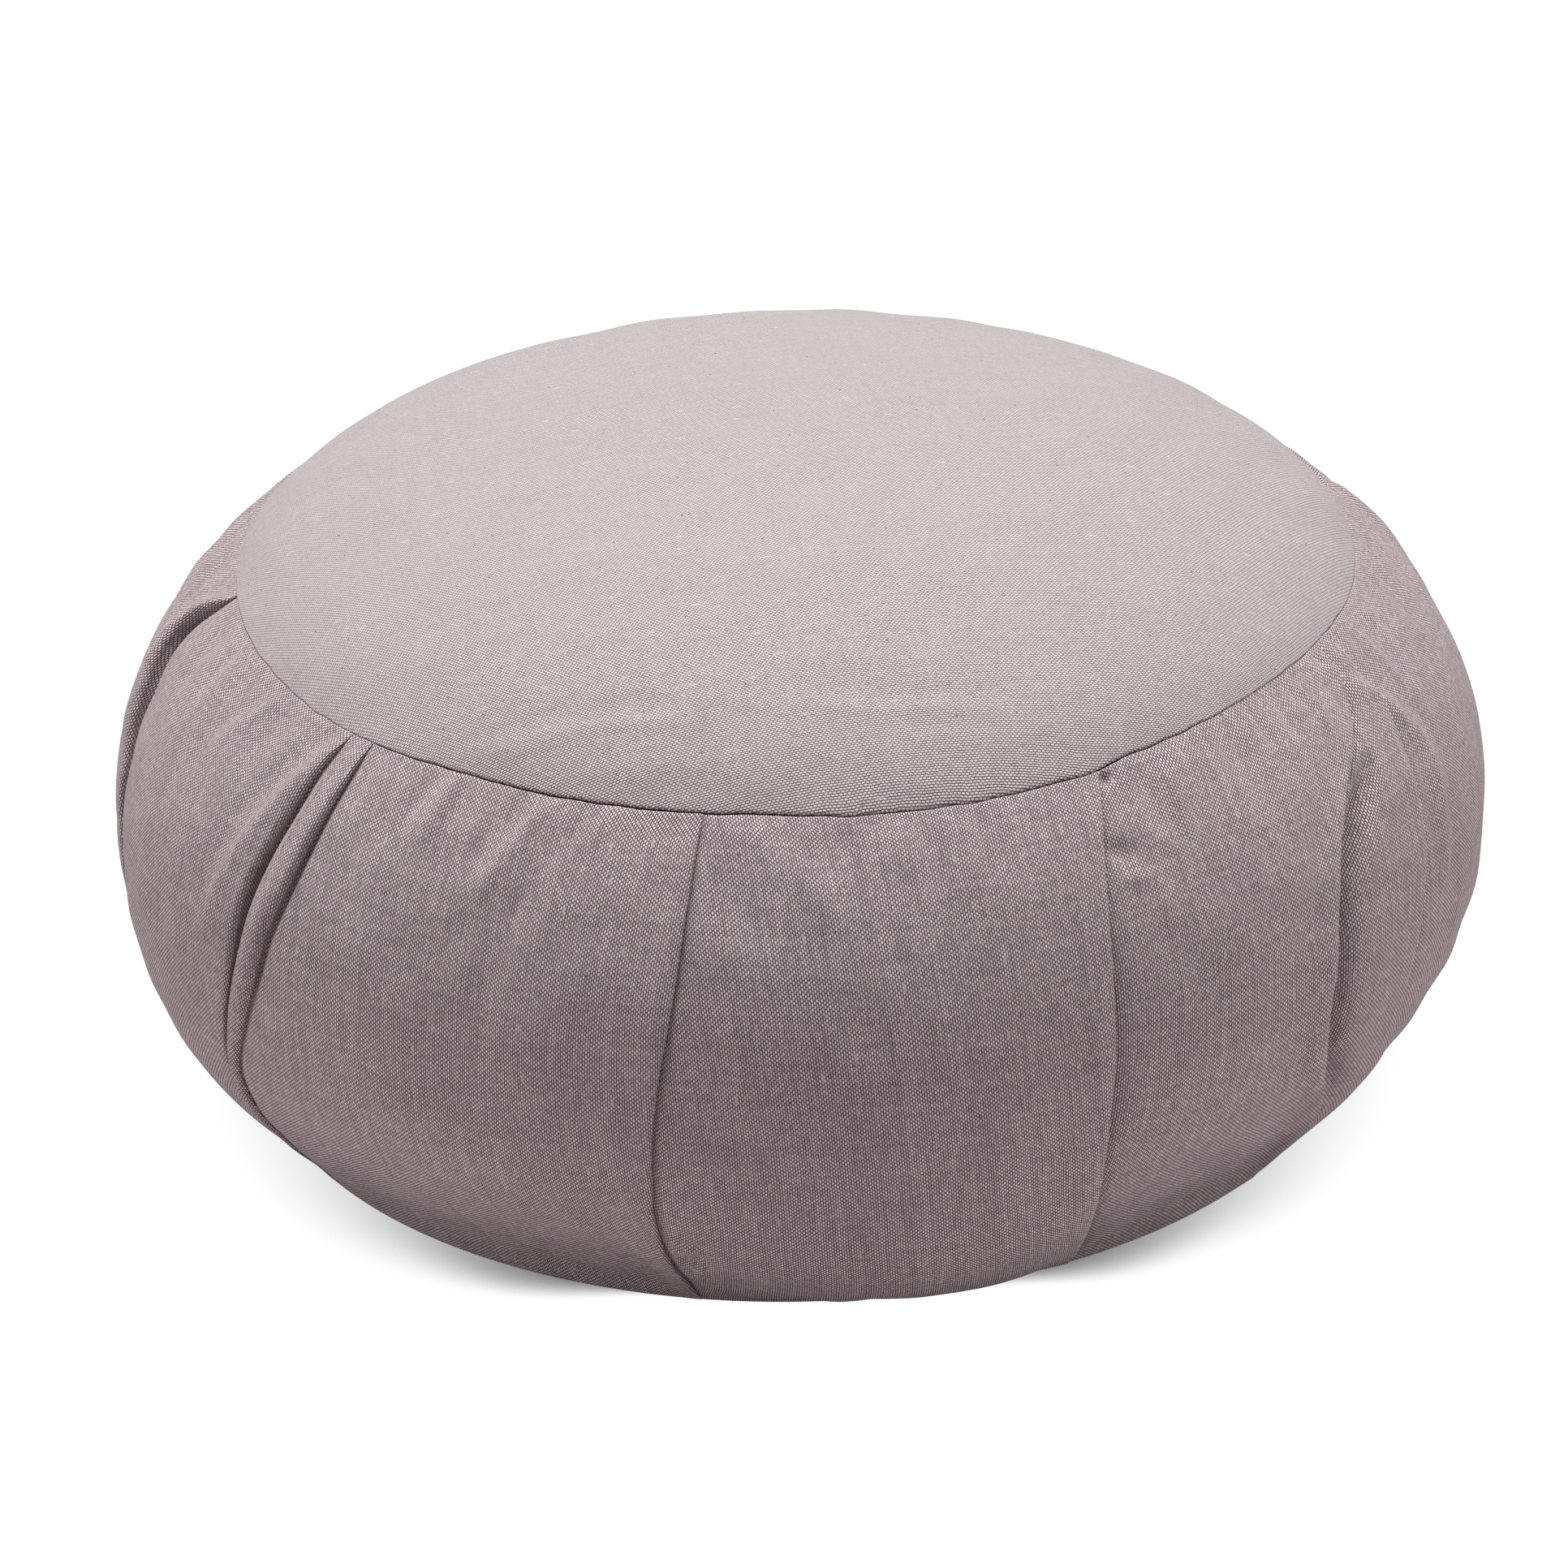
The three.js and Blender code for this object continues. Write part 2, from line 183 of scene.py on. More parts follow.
band_start = away(crown_point(1.0), GAP, -crown_slope(CROWN_CUT))
band_end = away(heel_point(1.0), GAP, HEEL_ANGLE)
widest = np.array([WIDEST_RADIUS, WIDEST_HEIGHT])
upper = bezier(band_start, away(band_start, SHOULDER_PULL, -SHOULDER_ANGLE),
               away(widest, WIDEST_PULL_UP, np.pi / 2), widest)
lower = bezier(widest, away(widest, WIDEST_PULL_DOWN, -np.pi / 2),
               away(band_end, TUCK_PULL, TUCK_ANGLE), band_end)
BAND_LINE = np.concatenate([upper, lower[1:]])
BAND_DOWN = running_length(BAND_LINE)
BAND_LENGTH = BAND_DOWN[-1]
BAND_SLOPE = np.gradient(BAND_LINE, BAND_DOWN, axis=0)


def band_profile(down):
    """Radius, height and the outward normal of the band's plain profile, at a distance down it."""
    at = [np.interp(down, BAND_DOWN, column) for column in (*BAND_LINE.T, *BAND_SLOPE.T)]
    size = np.hypot(at[2], at[3])
    return at[0], at[1], -at[3] / size, at[2] / size


print("the band is", round(BAND_LENGTH, 1), "mm from seam to seam")

# %% [markdown]
# ## Pleats
#
# Each pleat is a fold line that runs from seam to seam, where the cloth on its left laps over the cloth
# on its right. A table gives the azimuth of every line at four or more heights, how far the folded edge
# stands proud, how deep the cloth beside it lies and where along the line it opens. A table is the
# shortest honest way: nobody folds eleven pleats alike.

# %% Pleat table
# line: (mm down the band, azimuth in degrees) pairs. lap, recess, valley: mm. deepest, reach: mm down
# the band. rest: the share of the opening elsewhere. swell, sag: extra bulges of the panel on the
# right of the pleat, at the widest line and low down. flat: mm down to where it is pressed flat.
PLEATS = [
    dict(line=[(0, -83), (12, -86), (35, -84.4), (54, -82.9), (90, -81), (158, -80)], lap=2.8,
         recess=1.6, valley=5, deepest=22, reach=26, rest=0.12, swell=0.5, sag=0),
    dict(line=[(0, -49), (26, -50.9), (40, -52.1), (68, -53.6), (90, -55.6), (125, -57), (158, -57.8)],
         lap=1.5, recess=2.9, valley=5.5, deepest=42, reach=28, rest=0.05, swell=-0.4, sag=0, flat=108),
    dict(line=[(0, -46), (27, -46.8), (42, -47.8), (56, -49.2), (74, -50.9), (97, -54.4), (125, -56),
               (158, -56.9)],
         lap=1.8, recess=1.3, valley=3, deepest=44, reach=34, rest=0.05, swell=0.4, sag=-3, flat=108),
    dict(line=[(0, -9.2), (40, -10.3), (82, -12.2), (120, -12.5), (158, -10.5)], lap=0.8, recess=1.0,
         valley=3.5, deepest=70, reach=80, rest=0.4, swell=0.5, sag=5.5),
    dict(line=[(0, 30), (13, 28.2), (30, 26.5), (67, 25.1), (102, 24.6), (158, 26.8)], lap=1.3,
         recess=1.4, valley=5, deepest=84, reach=46, rest=0.4, swell=0, sag=-3.5),
    dict(line=[(0, 65), (14, 62.5), (24, 58.6), (31, 55), (40, 51.7), (52, 49.2), (66, 47.6), (80, 46.3),
               (95, 46.9), (119, 50.2), (158, 52.5)],
         lap=3.2, recess=9.0, valley=6, deepest=84, reach=42, rest=0.04, swell=0, sag=0),
    dict(line=[(0, 67.5), (20, 66.6), (42, 64.8), (61, 62.8), (87, 60.2), (120, 61), (158, 61)], lap=1.1,
         recess=1.8, valley=6, deepest=54, reach=24, rest=0.08, swell=0.8, sag=0),
    dict(line=[(0, 107), (40, 105), (82, 104), (158, 105)], lap=2, recess=2.6, valley=6,
         deepest=40, reach=60, rest=0.2, swell=0, sag=1),
    dict(line=[(0, 149), (40, 148), (82, 146), (158, 147)], lap=1.2, recess=1.6, valley=5,
         deepest=60, reach=90, rest=0.5, swell=0.6, sag=0),
    dict(line=[(0, 191), (40, 190), (82, 188), (158, 189)], lap=2.2, recess=3, valley=6,
         deepest=45, reach=45, rest=0.15, swell=0.2, sag=0.5),
    dict(line=[(0, 232), (40, 231), (82, 229), (158, 230)], lap=1.2, recess=2, valley=5,
         deepest=30, reach=60, rest=0.4, swell=0.4, sag=0),
]
count = len(PLEATS)
print(count, "pleats")

# %% Lines and openings of the pleats


def through(points, at):
    """A smooth curve through (x, y) points: between two points a cubic, whose slope at each point is
    that of its neighbours."""
    x, y = np.array(points, float).T
    slope = np.gradient(y, x)
    k = np.clip(np.searchsorted(x, at, side="right") - 1, 0, len(x) - 2)
    step = x[k + 1] - x[k]
    t = np.clip((at - x[k]) / step, 0, 1)
    return ((1 + 2 * t) * (1 - t) ** 2 * y[k] + t**2 * (3 - 2 * t) * y[k + 1]
            + step * (t * (1 - t) ** 2 * slope[k] - t**2 * (1 - t) * slope[k + 1]))


def fade(value, low, high):
    """0 below low, 1 above high, and a smooth step between them."""
    t = np.clip((value - low) / (high - low), 0, 1)
    return t * t * (3 - 2 * t)


SEAM_ROWS = np.array([0, 0.15, 0.4, 0.8, 1.4, 2.2, 3.2])  # mm from a seam, where the cloth rolls in
down = np.concatenate([SEAM_ROWS, np.arange(4.4, 44, 1.5), np.linspace(45, 128, 44),
                       np.linspace(129.5, BAND_LENGTH - 2, 17), BAND_LENGTH - SEAM_ROWS[4::-1]])
free = fade(down, 0, 8) * fade(BAND_LENGTH - down, 0, 10)  # 0 at both seams, 1 away from them
lines = np.radians([through(p["line"], down) for p in PLEATS])
lines = np.concatenate([lines, lines[:1] + 2 * np.pi])
print(len(down), "rows down the band")

# %% Heights at a fold
FOLD_STEP = 0.32
STEP_SEWN, LAP_SEWN = 0.35, 0.25  # the shares of step and lap that are left at a seam
PRESSED, PRESS_ABOVE, PRESS_BELOW = 0.85, 8, 14  # how much goes where a fold is flat, over which mm
LIP_RADIUS, LIP_ROUND = 1.2, 2.6  # the largest radius, and the fold's height in radii where it is less


def fold_heights(pleat):
    """How far a fold's edge stands proud and how deep the cloth beside it lies, down its line: lap and
    recess times the opening, rest + (1 - rest) exp(-((down - deepest) / reach)^2), plus a small step of
    doubled cloth, of which little is left where the fold is pressed flat."""
    opening = pleat["rest"] + (1 - pleat["rest"]) * np.exp(
        -(((down - pleat["deepest"]) / pleat["reach"]) ** 2))
    step = STEP_SEWN + (1 - STEP_SEWN) * free
    if "flat" in pleat:
        step *= 1 - PRESSED * fade(down, pleat["flat"] - PRESS_ABOVE, pleat["flat"] + PRESS_BELOW)
    lap = pleat["lap"] * opening * (LAP_SEWN + (1 - LAP_SEWN) * free)
    return lap + FOLD_STEP * step, pleat["recess"] * opening * free + FOLD_STEP * step


lip_height, valley_depth = np.moveaxis(np.array([fold_heights(p) for p in PLEATS]), 1, 0)
lip_radius = np.minimum((lip_height + valley_depth) / LIP_ROUND, LIP_RADIUS)
print("lip radius", lip_radius.min().round(2), "to", lip_radius.max().round(2), "mm")

# %% [markdown]
# ## Columns of the band
#
# A fold can't be a height over the cloth beneath, because its edge overhangs. So the band is a grid
# whose columns are drawn together at every pleat: they run up to the folded edge, turn round it in a
# small arc, go down into the crease, and come out again on the cloth that lies underneath.

# %% Columns at a pleat
BESIDE = np.array([15, 11.5, 9, 7, 5.5, 4.3, 3.3, 2.5, 1.8, 1.2, 0.6])  # mm from the folded edge
LIP_TURN = np.radians([90, 74, 56, 38, 20, 2, -18, -42])
CREASE_TURN = np.array([1.0, 0.45])  # lip radii that the two columns in the crease lie back
LEFT_COLUMNS = len(BESIDE) + len(LIP_TURN)
FOLD_ROOM, ROOM_SHARE = 16.0, 0.46  # room for a fold's columns in mm, and at most of a panel
PANEL_COLUMN, EDGE_GAP = 1.75, 0.4
panel_width = (lines[1:] - lines[:-1]) * WIDEST_RADIUS
room = np.minimum(1, panel_width * ROOM_SHARE / FOLD_ROOM)


def pleat_columns(k):
    """Columns of one fold, from the left cloth to the right: their offset from the line and, where the
    cloth turns round the folded edge or lies in the crease, their height in the fold's own section."""
    r, lip, deep = lip_radius[k][:, None], lip_height[k][:, None], valley_depth[k][:, None]
    before = -r - BESIDE * room[k - 1][:, None]
    arc_x = -r + r * np.cos(LIP_TURN)
    arc_y = lip - r + r * np.sin(LIP_TURN)
    after = np.concatenate([[0.0], BESIDE[::-1]]) * room[k][:, None]
    x = np.concatenate([before, arc_x, -r * CREASE_TURN, after], 1)
    y = np.full_like(x, np.nan)
    y[:, len(BESIDE):LEFT_COLUMNS] = arc_y
    y[:, LEFT_COLUMNS:LEFT_COLUMNS + len(CREASE_TURN)] = -deep
    return x, y


def between_columns(k):
    """Columns of the smooth cloth between two folds, as offsets from the line on their left."""
    steps = max(3, round((panel_width[k].max() - 2 * FOLD_ROOM) / PANEL_COLUMN))
    share = (np.arange(steps) + 0.5) / steps
    edge = BESIDE[0] * room[k][:, None] + EDGE_GAP
    far = panel_width[k][:, None] - edge - lip_radius[(k + 1) % count][:, None]
    return edge + (far - edge) * share


column_azimuth, column_section, column_panel, column_owner, crease_columns = [], [], [], [], []
for k in range(count):
    crease_columns.append(len(column_owner) + LEFT_COLUMNS)
    fold_x, fold_y = pleat_columns(k)
    between = between_columns(k)
    x = np.concatenate([fold_x, between], 1)
    column_azimuth.append(lines[k][:, None] + x / WIDEST_RADIUS)
    column_section.append(np.concatenate([fold_y, np.full_like(between, np.nan)], 1))
    column_panel += [(k - 1) % count] * LEFT_COLUMNS + [k] * (x.shape[1] - LEFT_COLUMNS)
    column_owner += [k] * x.shape[1]
azimuth = np.concatenate(column_azimuth, 1)
section = np.concatenate(column_section, 1)
column_panel, column_owner = np.array(column_panel), np.array(column_owner)
print("band grid:", azimuth.shape[0], "rows of", azimuth.shape[1], "columns")

# %% [markdown]
# ## Relief of the cloth
#
# Between the folds the cloth swells over the fill, and below the top seam it is gathered in short
# troughs. Each of these is a smooth bump in the distance from the plain profile. The largest wrinkles
# repeat the ones in the solids, and the finer ones are the cloth's alone.

# %% Wrinkles of the band
WRINKLES = [
    # rise (under nothing for a trough) and half width in mm, then points of (azimuth, down)
    (1.2, 2.8, [(-23.7, 0), (-25.9, 11), (-27.6, 21), (-28.8, 30)]),
    (-0.6, 2.8, [(-26.9, 0.5), (-28.9, 12), (-30.4, 22)]),
    (0.9, 2.6, [(-34.4, 0), (-35.4, 11.5), (-35.8, 21)]),
    (-0.8, 2.8, [(-36.9, 1.5), (-37.8, 10), (-38.2, 18)]),
    (0.7, 3.2, [(-42.3, 2), (-43.1, 12), (-43.4, 21)]),
    (0.8, 3.2, [(-16.9, 1), (-20.8, 13), (-23.7, 25)]),
    (0.4, 2.8, [(-14.5, 2), (-17.6, 13)]),
    (-0.9, 4.4, [(-20.3, 4), (-22.6, 17), (-25.0, 32), (-26.8, 49), (-26.3, 66)]),
    (-2.0, 13.0, [(-31, 26), (-29, 52), (-28, 84)]),
    (0.9, 4.0, [(-7, 2), (-4.9, 5.5), (-2, 11), (0.9, 18), (3, 27)]),
    (-0.9, 5.0, [(-7.2, 12), (-5.2, 22), (-2.4, 32)]),
    (-0.5, 5.0, [(4, 4), (7, 14), (9, 24)]),
    (0.4, 4.0, [(13, 2), (14, 14), (14.5, 24)]),
    (-1.5, 2.0, [(30.7, 1.2), (30.0, 4.6)]),
    (0.7, 2.6, [(38.6, 1.5), (37, 8.5), (36.4, 17), (36.2, 25)]),
    (-0.5, 3.0, [(34.4, 3), (33.4, 12), (32.5, 19)]),
    (-1.4, 2.5, [(28.0, 20.2), (30.2, 22.8)]),
    (0.8, 2.2, [(28.6, 27.2), (31.4, 29.8)]),
    (-7.0, 3.2, [(59.2, 30), (55.4, 38), (51.9, 49), (49.5, 63), (48.3, 78), (48.8, 95), (51.6, 112)]),
    (0.5, 2.4, [(60.6, 1.5), (63, 7), (64.6, 11)]),
    (1.0, 2.6, [(63.0, 12), (66.1, 16.7), (68.0, 26), (69.9, 39.7)]),
    (-0.8, 2.2, [(65.4, 11.2), (67.0, 12.4)]),
    (-0.7, 1.6, [(62.9, 1.2), (62.6, 5)]),
    (0.6, 2.2, [(56.5, 1.5), (57.6, 10), (57, 18)]),
    (-0.6, 2.6, [(52.5, 24), (49.5, 34), (47, 46)]),
    (-0.7, 3.4, [(67.8, 34), (66.4, 50), (64.6, 66)]),
    (0.6, 2.6, [(70, 40), (68.5, 58), (66.5, 74)]),
    (1.5, 3.2, [(-49.6, 3.5), (-52.5, 24), (-54.6, 38), (-56.4, 54), (-57, 66)]),
    (-0.9, 3.4, [(-51.6, 2), (-54.9, 19), (-57.3, 34)]),
    (0.5, 2.2, [(-60.4, 2), (-63.2, 14), (-65.6, 27)]),
    (-0.5, 2.6, [(-62.4, 2), (-65.6, 14), (-68, 26)]),
    (2.3, 6.5, [(-90, 9), (-89, 20), (-87.2, 36), (-85.6, 50)]),
    (1.2, 2.4, [(-12.2, 120), (-9.4, 115.5)]),
    (-1.0, 2.2, [(-11.6, 125), (-8.6, 121)]),
    (1.1, 2.6, [(-11.6, 133), (-8.4, 128)]),
]
WRINKLE_START, WRINKLE_END, WRINKLE_TAPER = 1.6, 8, 0.75  # mm from the seams, and a share
print(len(WRINKLES), "wrinkles on the band")

# %% Folds and fullness
LIP_ROLL = 6.5
SWELL = 2.0
PANEL_SKEW, PANEL_FULLNESS = 1.4, 0.6  # powers: the first moves the swell right, the second spreads it
SAG_AT, SAG_REACH = 0.85, 0.16  # shares of the way down


def turn_between(a, b):
    """The angle from b to a, between minus and plus half a turn."""
    return (a - b + np.pi) % (2 * np.pi) - np.pi


def folds(azimuth, in_fold):
    """Heights of all the folds: a bell-shaped rise towards the folded edge on the left of each line,
    and a valley that climbs as the square of the distance on its right. A point that lies in a fold's
    own section gets nothing from that fold."""
    out = np.zeros_like(azimuth)
    for k, pleat in enumerate(PLEATS):
        beside = turn_between(azimuth, lines[k][:, None]) * WIDEST_RADIUS
        r, lip, deep = (a[k][:, None] for a in (lip_radius, lip_height, valley_depth))
        rise = lip * np.exp(-((np.minimum(beside + r, 0) / LIP_ROLL) ** 2))
        valley = -deep * np.clip(1 - beside / pleat["valley"], 0, 1) ** 2
        here = np.where(beside < 0, rise, np.where(beside < pleat["valley"], valley, 0))
        out += np.where(in_fold & (column_owner == k), 0, here)
    return out


def fullness(azimuth):
    """How the panels swell between the folds: sin(pi across^skew)^fullness, nothing at a line and most a
    little right of the middle, times a sine down the band, plus a bell-shaped sag low down."""
    share = down / BAND_LENGTH
    out = np.zeros_like(azimuth)
    for k, pleat in enumerate(PLEATS):
        own = column_panel == k
        width = (lines[k + 1] - lines[k])[:, None]
        across = turn_between(azimuth[:, own], lines[k][:, None] + width / 2) / width + 0.5
        middle = np.sin(np.pi * np.clip(across, 0, 1) ** PANEL_SKEW) ** PANEL_FULLNESS
        rise = (SWELL + pleat["swell"]) * np.sin(np.pi * share)
        low = pleat["sag"] * np.exp(-(((share - SAG_AT) / SAG_REACH) ** 2)) * free
        out[:, own] = middle * (rise + low)[:, None]
    return out


# %% Wrinkles and lumps
rng = np.random.default_rng(5)
LUMP_COUNT, LUMP_SIZE, LUMP_LENGTH = 26, 0.04, 18  # waves, mm high, and the shortest in mm down
LUMP_ROUND = rng.integers(12, 52, LUMP_COUNT)
LUMP_DOWN = rng.uniform(-1, 1, LUMP_COUNT) / LUMP_LENGTH
LUMP_PHASE = rng.uniform(0, 2 * np.pi, LUMP_COUNT)


def from_path(x, y, path):
    """Distance of every point from a bent line, and how far along the line its nearest place is, from 0
    to 1: the least over the line's straight stretches."""
    sizes = np.hypot(*np.diff(path, axis=0).T)
    starts = np.concatenate([[0], np.cumsum(sizes)])
    best, along = np.full(x.shape, np.inf), np.zeros(x.shape)
    for (x0, y0), (x1, y1), size, start in zip(path, path[1:], sizes, starts):
        t = np.clip(((x - x0) * (x1 - x0) + (y - y0) * (y1 - y0)) / size**2, 0, 1)
        distance = np.hypot(x - x0 - t * (x1 - x0), y - y0 - t * (y1 - y0))
        along = np.where(distance < best, (start + t * size) / starts[-1], along)
        best = np.minimum(best, distance)
    return best, along


def wrinkle(x, y, rise, width, path):
    """Height of one ridge or trough along a bent line: a bell across it, exp(-(far / width)^2), and a
    taper towards both ends, 1 - taper (2 along - 1)^4."""
    far, along = from_path(x, y, path)
    return rise * np.exp(-((far / width) ** 2)) * (1 - WRINKLE_TAPER * (2 * along - 1) ** 4)


def wrinkles(azimuth):
    """The band's wrinkles, each laid out flat from its own first point: their sum, kept off the seams."""
    out = np.zeros_like(azimuth)
    level = np.broadcast_to(down[:, None], azimuth.shape)
    for rise, width, points in WRINKLES:
        azimuths, downs = np.array(points, float).T
        path = np.stack([np.radians(azimuths - azimuths[0]) * WIDEST_RADIUS, downs], -1)
        beside = turn_between(azimuth, math.radians(azimuths[0])) * WIDEST_RADIUS
        out += wrinkle(beside, level, rise, width, path)
    return out * (fade(down, 0, WRINKLE_START) * fade(BAND_LENGTH - down, 0, WRINKLE_END))[:, None]


def lumps(azimuth):
    """Small unevenness of the fill: a sum of waves that run round and down the band."""
    out = np.zeros_like(azimuth)
    for turns, slope, phase in zip(LUMP_ROUND, LUMP_DOWN, LUMP_PHASE):
        out += LUMP_SIZE * np.cos(turns * azimuth + 2 * np.pi * slope * down[:, None] + phase)
    return out * free[:, None]


# %% [markdown]
# ## What held cloth does by itself
#
# Wrinkles placed one by one leave the cloth between them too smooth. Cloth that is held along lines and
# pressed from inside buckles by itself, so a short simulation runs on a coarse closed net of the plain
# cushion: held at the seams and along every fold, a little larger than its place, and blown up. Only the
# small ups and downs round the cushion are kept from it, and laid over the relief.

# %% The net
NET_SIDES, NET_ROWS = 320, 42
NET_FRAMES = 20
NET_EXCESS = 0.018
NET_CLOTH = {
    "quality": 5, "mass": 0.3, "tension_stiffness": 15, "compression_stiffness": 15, "shear_stiffness": 5,
    "bending_stiffness": 2, "vertex_group_mass": "held", "use_pressure": True, "uniform_pressure_force": 4,
    "shrink_min": -NET_EXCESS, "shrink_max": -NET_EXCESS,
}
HELD_NEAR, HELD_FAR = 1.0, 5.0
net_azimuth = np.arange(NET_SIDES) * 2 * np.pi / NET_SIDES
net_down = np.linspace(0, BAND_LENGTH, NET_ROWS)


def round_point(azimuth, radius, height):
    """A point at an azimuth, radius and height round the upright axis, in metres."""
    azimuth, radius, height = np.broadcast_arrays(azimuth, radius, height)
    return np.stack([radius * np.sin(azimuth), -radius * np.cos(azimuth), height], -1) * MM


def ring_faces(grid, first, last):
    """Faces of a closed stack of rings, from the numbers of their points, rows x sides: squares from
    ring to ring, then triangles to the points first and last. They face outwards where the rings run
    from the top down and the azimuth grows along them."""
    after = np.roll(grid, -1, 1)
    squares = np.stack([grid[:-1], grid[1:], after[1:], after[:-1]], -1).reshape(-1, 4)
    top = np.stack([np.full_like(grid[0], first), grid[0], after[0]], -1)
    end = np.stack([np.full_like(grid[0], last), after[-1], grid[-1]], -1)
    return squares.tolist() + top.tolist() + end.tolist()


def held_share():
    """How firmly each point of the net is held, and its distance from the nearest fold: fully at both
    seams and within HELD_NEAR of a fold's line, less further off, and not at all from HELD_FAR on."""
    nearest = np.full((NET_ROWS, NET_SIDES), np.inf)
    for line in lines[:count]:
        at = np.interp(net_down, down, line)[:, None]
        nearest = np.minimum(nearest, np.abs(turn_between(net_azimuth, at)) * WIDEST_RADIUS)
    share = 1 - fade(nearest, HELD_NEAR, HELD_FAR)
    share[[0, -1]] = 1
    return share, nearest


def net_shape():
    """Moves every point of the net by the cloth simulation, and gives how far each one went along its
    own normal, in mm: the product of its move and its normal. Gives the distances from the folds too."""
    radius, height, across, up = (a[:, None] for a in band_profile(net_down))
    rest = round_point(net_azimuth, radius, height)
    points = np.concatenate([rest.reshape(-1, 3), round_point(0, 0, height[[0, -1], 0])])
    grid = np.arange(NET_ROWS * NET_SIDES).reshape(NET_ROWS, NET_SIDES)
    mesh = bpy.data.meshes.new("net")
    mesh.from_pydata(points, [], ring_faces(grid, len(points) - 2, len(points) - 1))
    net = placed("net", mesh)
    group = net.vertex_groups.new(name="held")
    share, nearest = held_share()
    held = np.concatenate([share.ravel(), [1, 1]])
    for level in np.unique(held.round(1)):
        group.add(np.flatnonzero(held.round(1) == level).tolist(), float(level), "REPLACE")
    cloth = net.modifiers.new("cloth", "CLOTH")
    for name, value in NET_CLOTH.items():
        setattr(cloth.settings, name, value)
    cloth.settings.effector_weights.gravity = 0
    cloth.collision_settings.use_collision = False
    cloth.point_cache.frame_start, cloth.point_cache.frame_end = 1, NET_FRAMES
    for number in range(1, NET_FRAMES + 1):
        bpy.context.scene.frame_set(number)
    settled = net.evaluated_get(bpy.context.evaluated_depsgraph_get()).data
    place = np.empty(len(points) * 3, np.float32)
    settled.vertices.foreach_get("co", place)
    bpy.data.objects.remove(net)
    bpy.data.meshes.remove(mesh)
    bpy.context.scene.frame_set(1)
    moved = (place.reshape(-1, 3)[:-2].reshape(rest.shape) - rest) / MM
    normal = round_point(net_azimuth, across, up) / MM
    return (moved * normal).sum(-1), nearest


print("the net has", NET_ROWS, "rings of", NET_SIDES, "points")

# %% What is kept of the net
KEPT_MOST = 0.42
KEPT_LOW = 0.3
FOLD_QUIET = 15.0
GATHER_REACH = 34.0
SMOOTHINGS = 22


def small_moves(moved, nearest):
    """The small ups and downs: the moves less their moving average round the cushion, none beside the
    folds, most in the gathers under the top seam, and never more than a limit: most tanh(move / most)."""
    slow = moved
    for _ in range(SMOOTHINGS):
        slow = (np.roll(slow, 1, 1) + 2 * slow + np.roll(slow, -1, 1)) / 4
    quiet = 1 - np.exp(-((nearest / FOLD_QUIET) ** 4))
    quiet *= (KEPT_LOW + (1 - KEPT_LOW) * np.exp(-((net_down / GATHER_REACH) ** 2)))[:, None]
    return KEPT_MOST * np.tanh((moved - slow) * quiet / KEPT_MOST)


def cubic_weights(t):
    """Weights of four neighbours in a smooth cubic, t of the way between the two in the middle."""
    return (t * (-0.5 + t - 0.5 * t * t), 1 + t * t * (-2.5 + 1.5 * t), t * (0.5 + 2 * t - 1.5 * t * t),
            t * t * (-0.5 + 0.5 * t))


net_moves = small_moves(*net_shape())
print("kept of the simulation:", net_moves.min().round(2), "to", net_moves.max().round(2), "mm")


def drape(azimuth):
    """The net's small moves at every point of the band, by smooth cubics round and down."""
    side = azimuth / (2 * np.pi) * NET_SIDES
    row = np.clip(down / BAND_LENGTH * (NET_ROWS - 1), 0, NET_ROWS - 1.001)[:, None]
    side_start, row_start = np.floor(side).astype(int), np.floor(row).astype(int)
    out = np.zeros_like(azimuth)
    for j, row_weight in enumerate(cubic_weights(row - row_start)):
        rows = np.clip(row_start + j - 1, 0, NET_ROWS - 1)
        for i, side_weight in enumerate(cubic_weights(side - side_start)):
            out += row_weight * side_weight * net_moves[rows, (side_start + i - 1) % NET_SIDES]
    return out * free[:, None]


in_fold = ~np.isnan(section)
relief = folds(azimuth, in_fold) + fullness(azimuth) + wrinkles(azimuth) + lumps(azimuth)
relief += np.where(in_fold, section, 0) + drape(azimuth)
print("relief from", relief.min().round(1), "to", relief.max().round(1), "mm")

# %% [markdown]
# ## Seams
#
# At a seam both cloths roll inwards and meet in a fine groove. A quarter circle in the last millimetre
# of each cloth gives that groove. It is widest at the front, and drawn shut round the sides. A sewn line
# is never quite true, so both cloths share one small wander, and a finer one with the stitches.

# %% Seam groove and wander
SEAM_ROLL_FRONT, SEAM_ROLL_REST = 0.62, 0.16
SEAM_SHUT, SHUT_REACH = 0.26, 1.0
WANDER_REACH = 5.0
STITCH, STITCH_SIZE = 3.2, 0.05
MOUNDS = [(-130, 1.3, 0.3), (60, 0.6, 0.3)]  # azimuth, lift in mm, spread
rng = np.random.default_rng(11)
WANDER_WAVES, WANDER_SIZE = 18, 0.045
WANDER = [(int(n), float(size), float(phase)) for n, size, phase in zip(
    rng.integers(14, 95, WANDER_WAVES), rng.uniform(0.4, 1.0, WANDER_WAVES) * WANDER_SIZE,
    rng.uniform(0, 2 * np.pi, WANDER_WAVES))]
SEAM_LINE = [(-180, -0.4), (-120, -1.0), (-84, -1.4), (-66, -0.3), (-46, 0.4), (-36, -0.5), (-23, 0.0),
             (-9, 0.2), (-2, 0.3), (3, 1.1), (15, 1.5), (25, 1.1), (29.5, 1.0), (32, -0.2), (40, -0.9),
             (50, -1.3), (64, -0.8), (76, 0.2), (90, 0.5), (130, 0.4), (180, -0.4)]  # azimuth, mm down


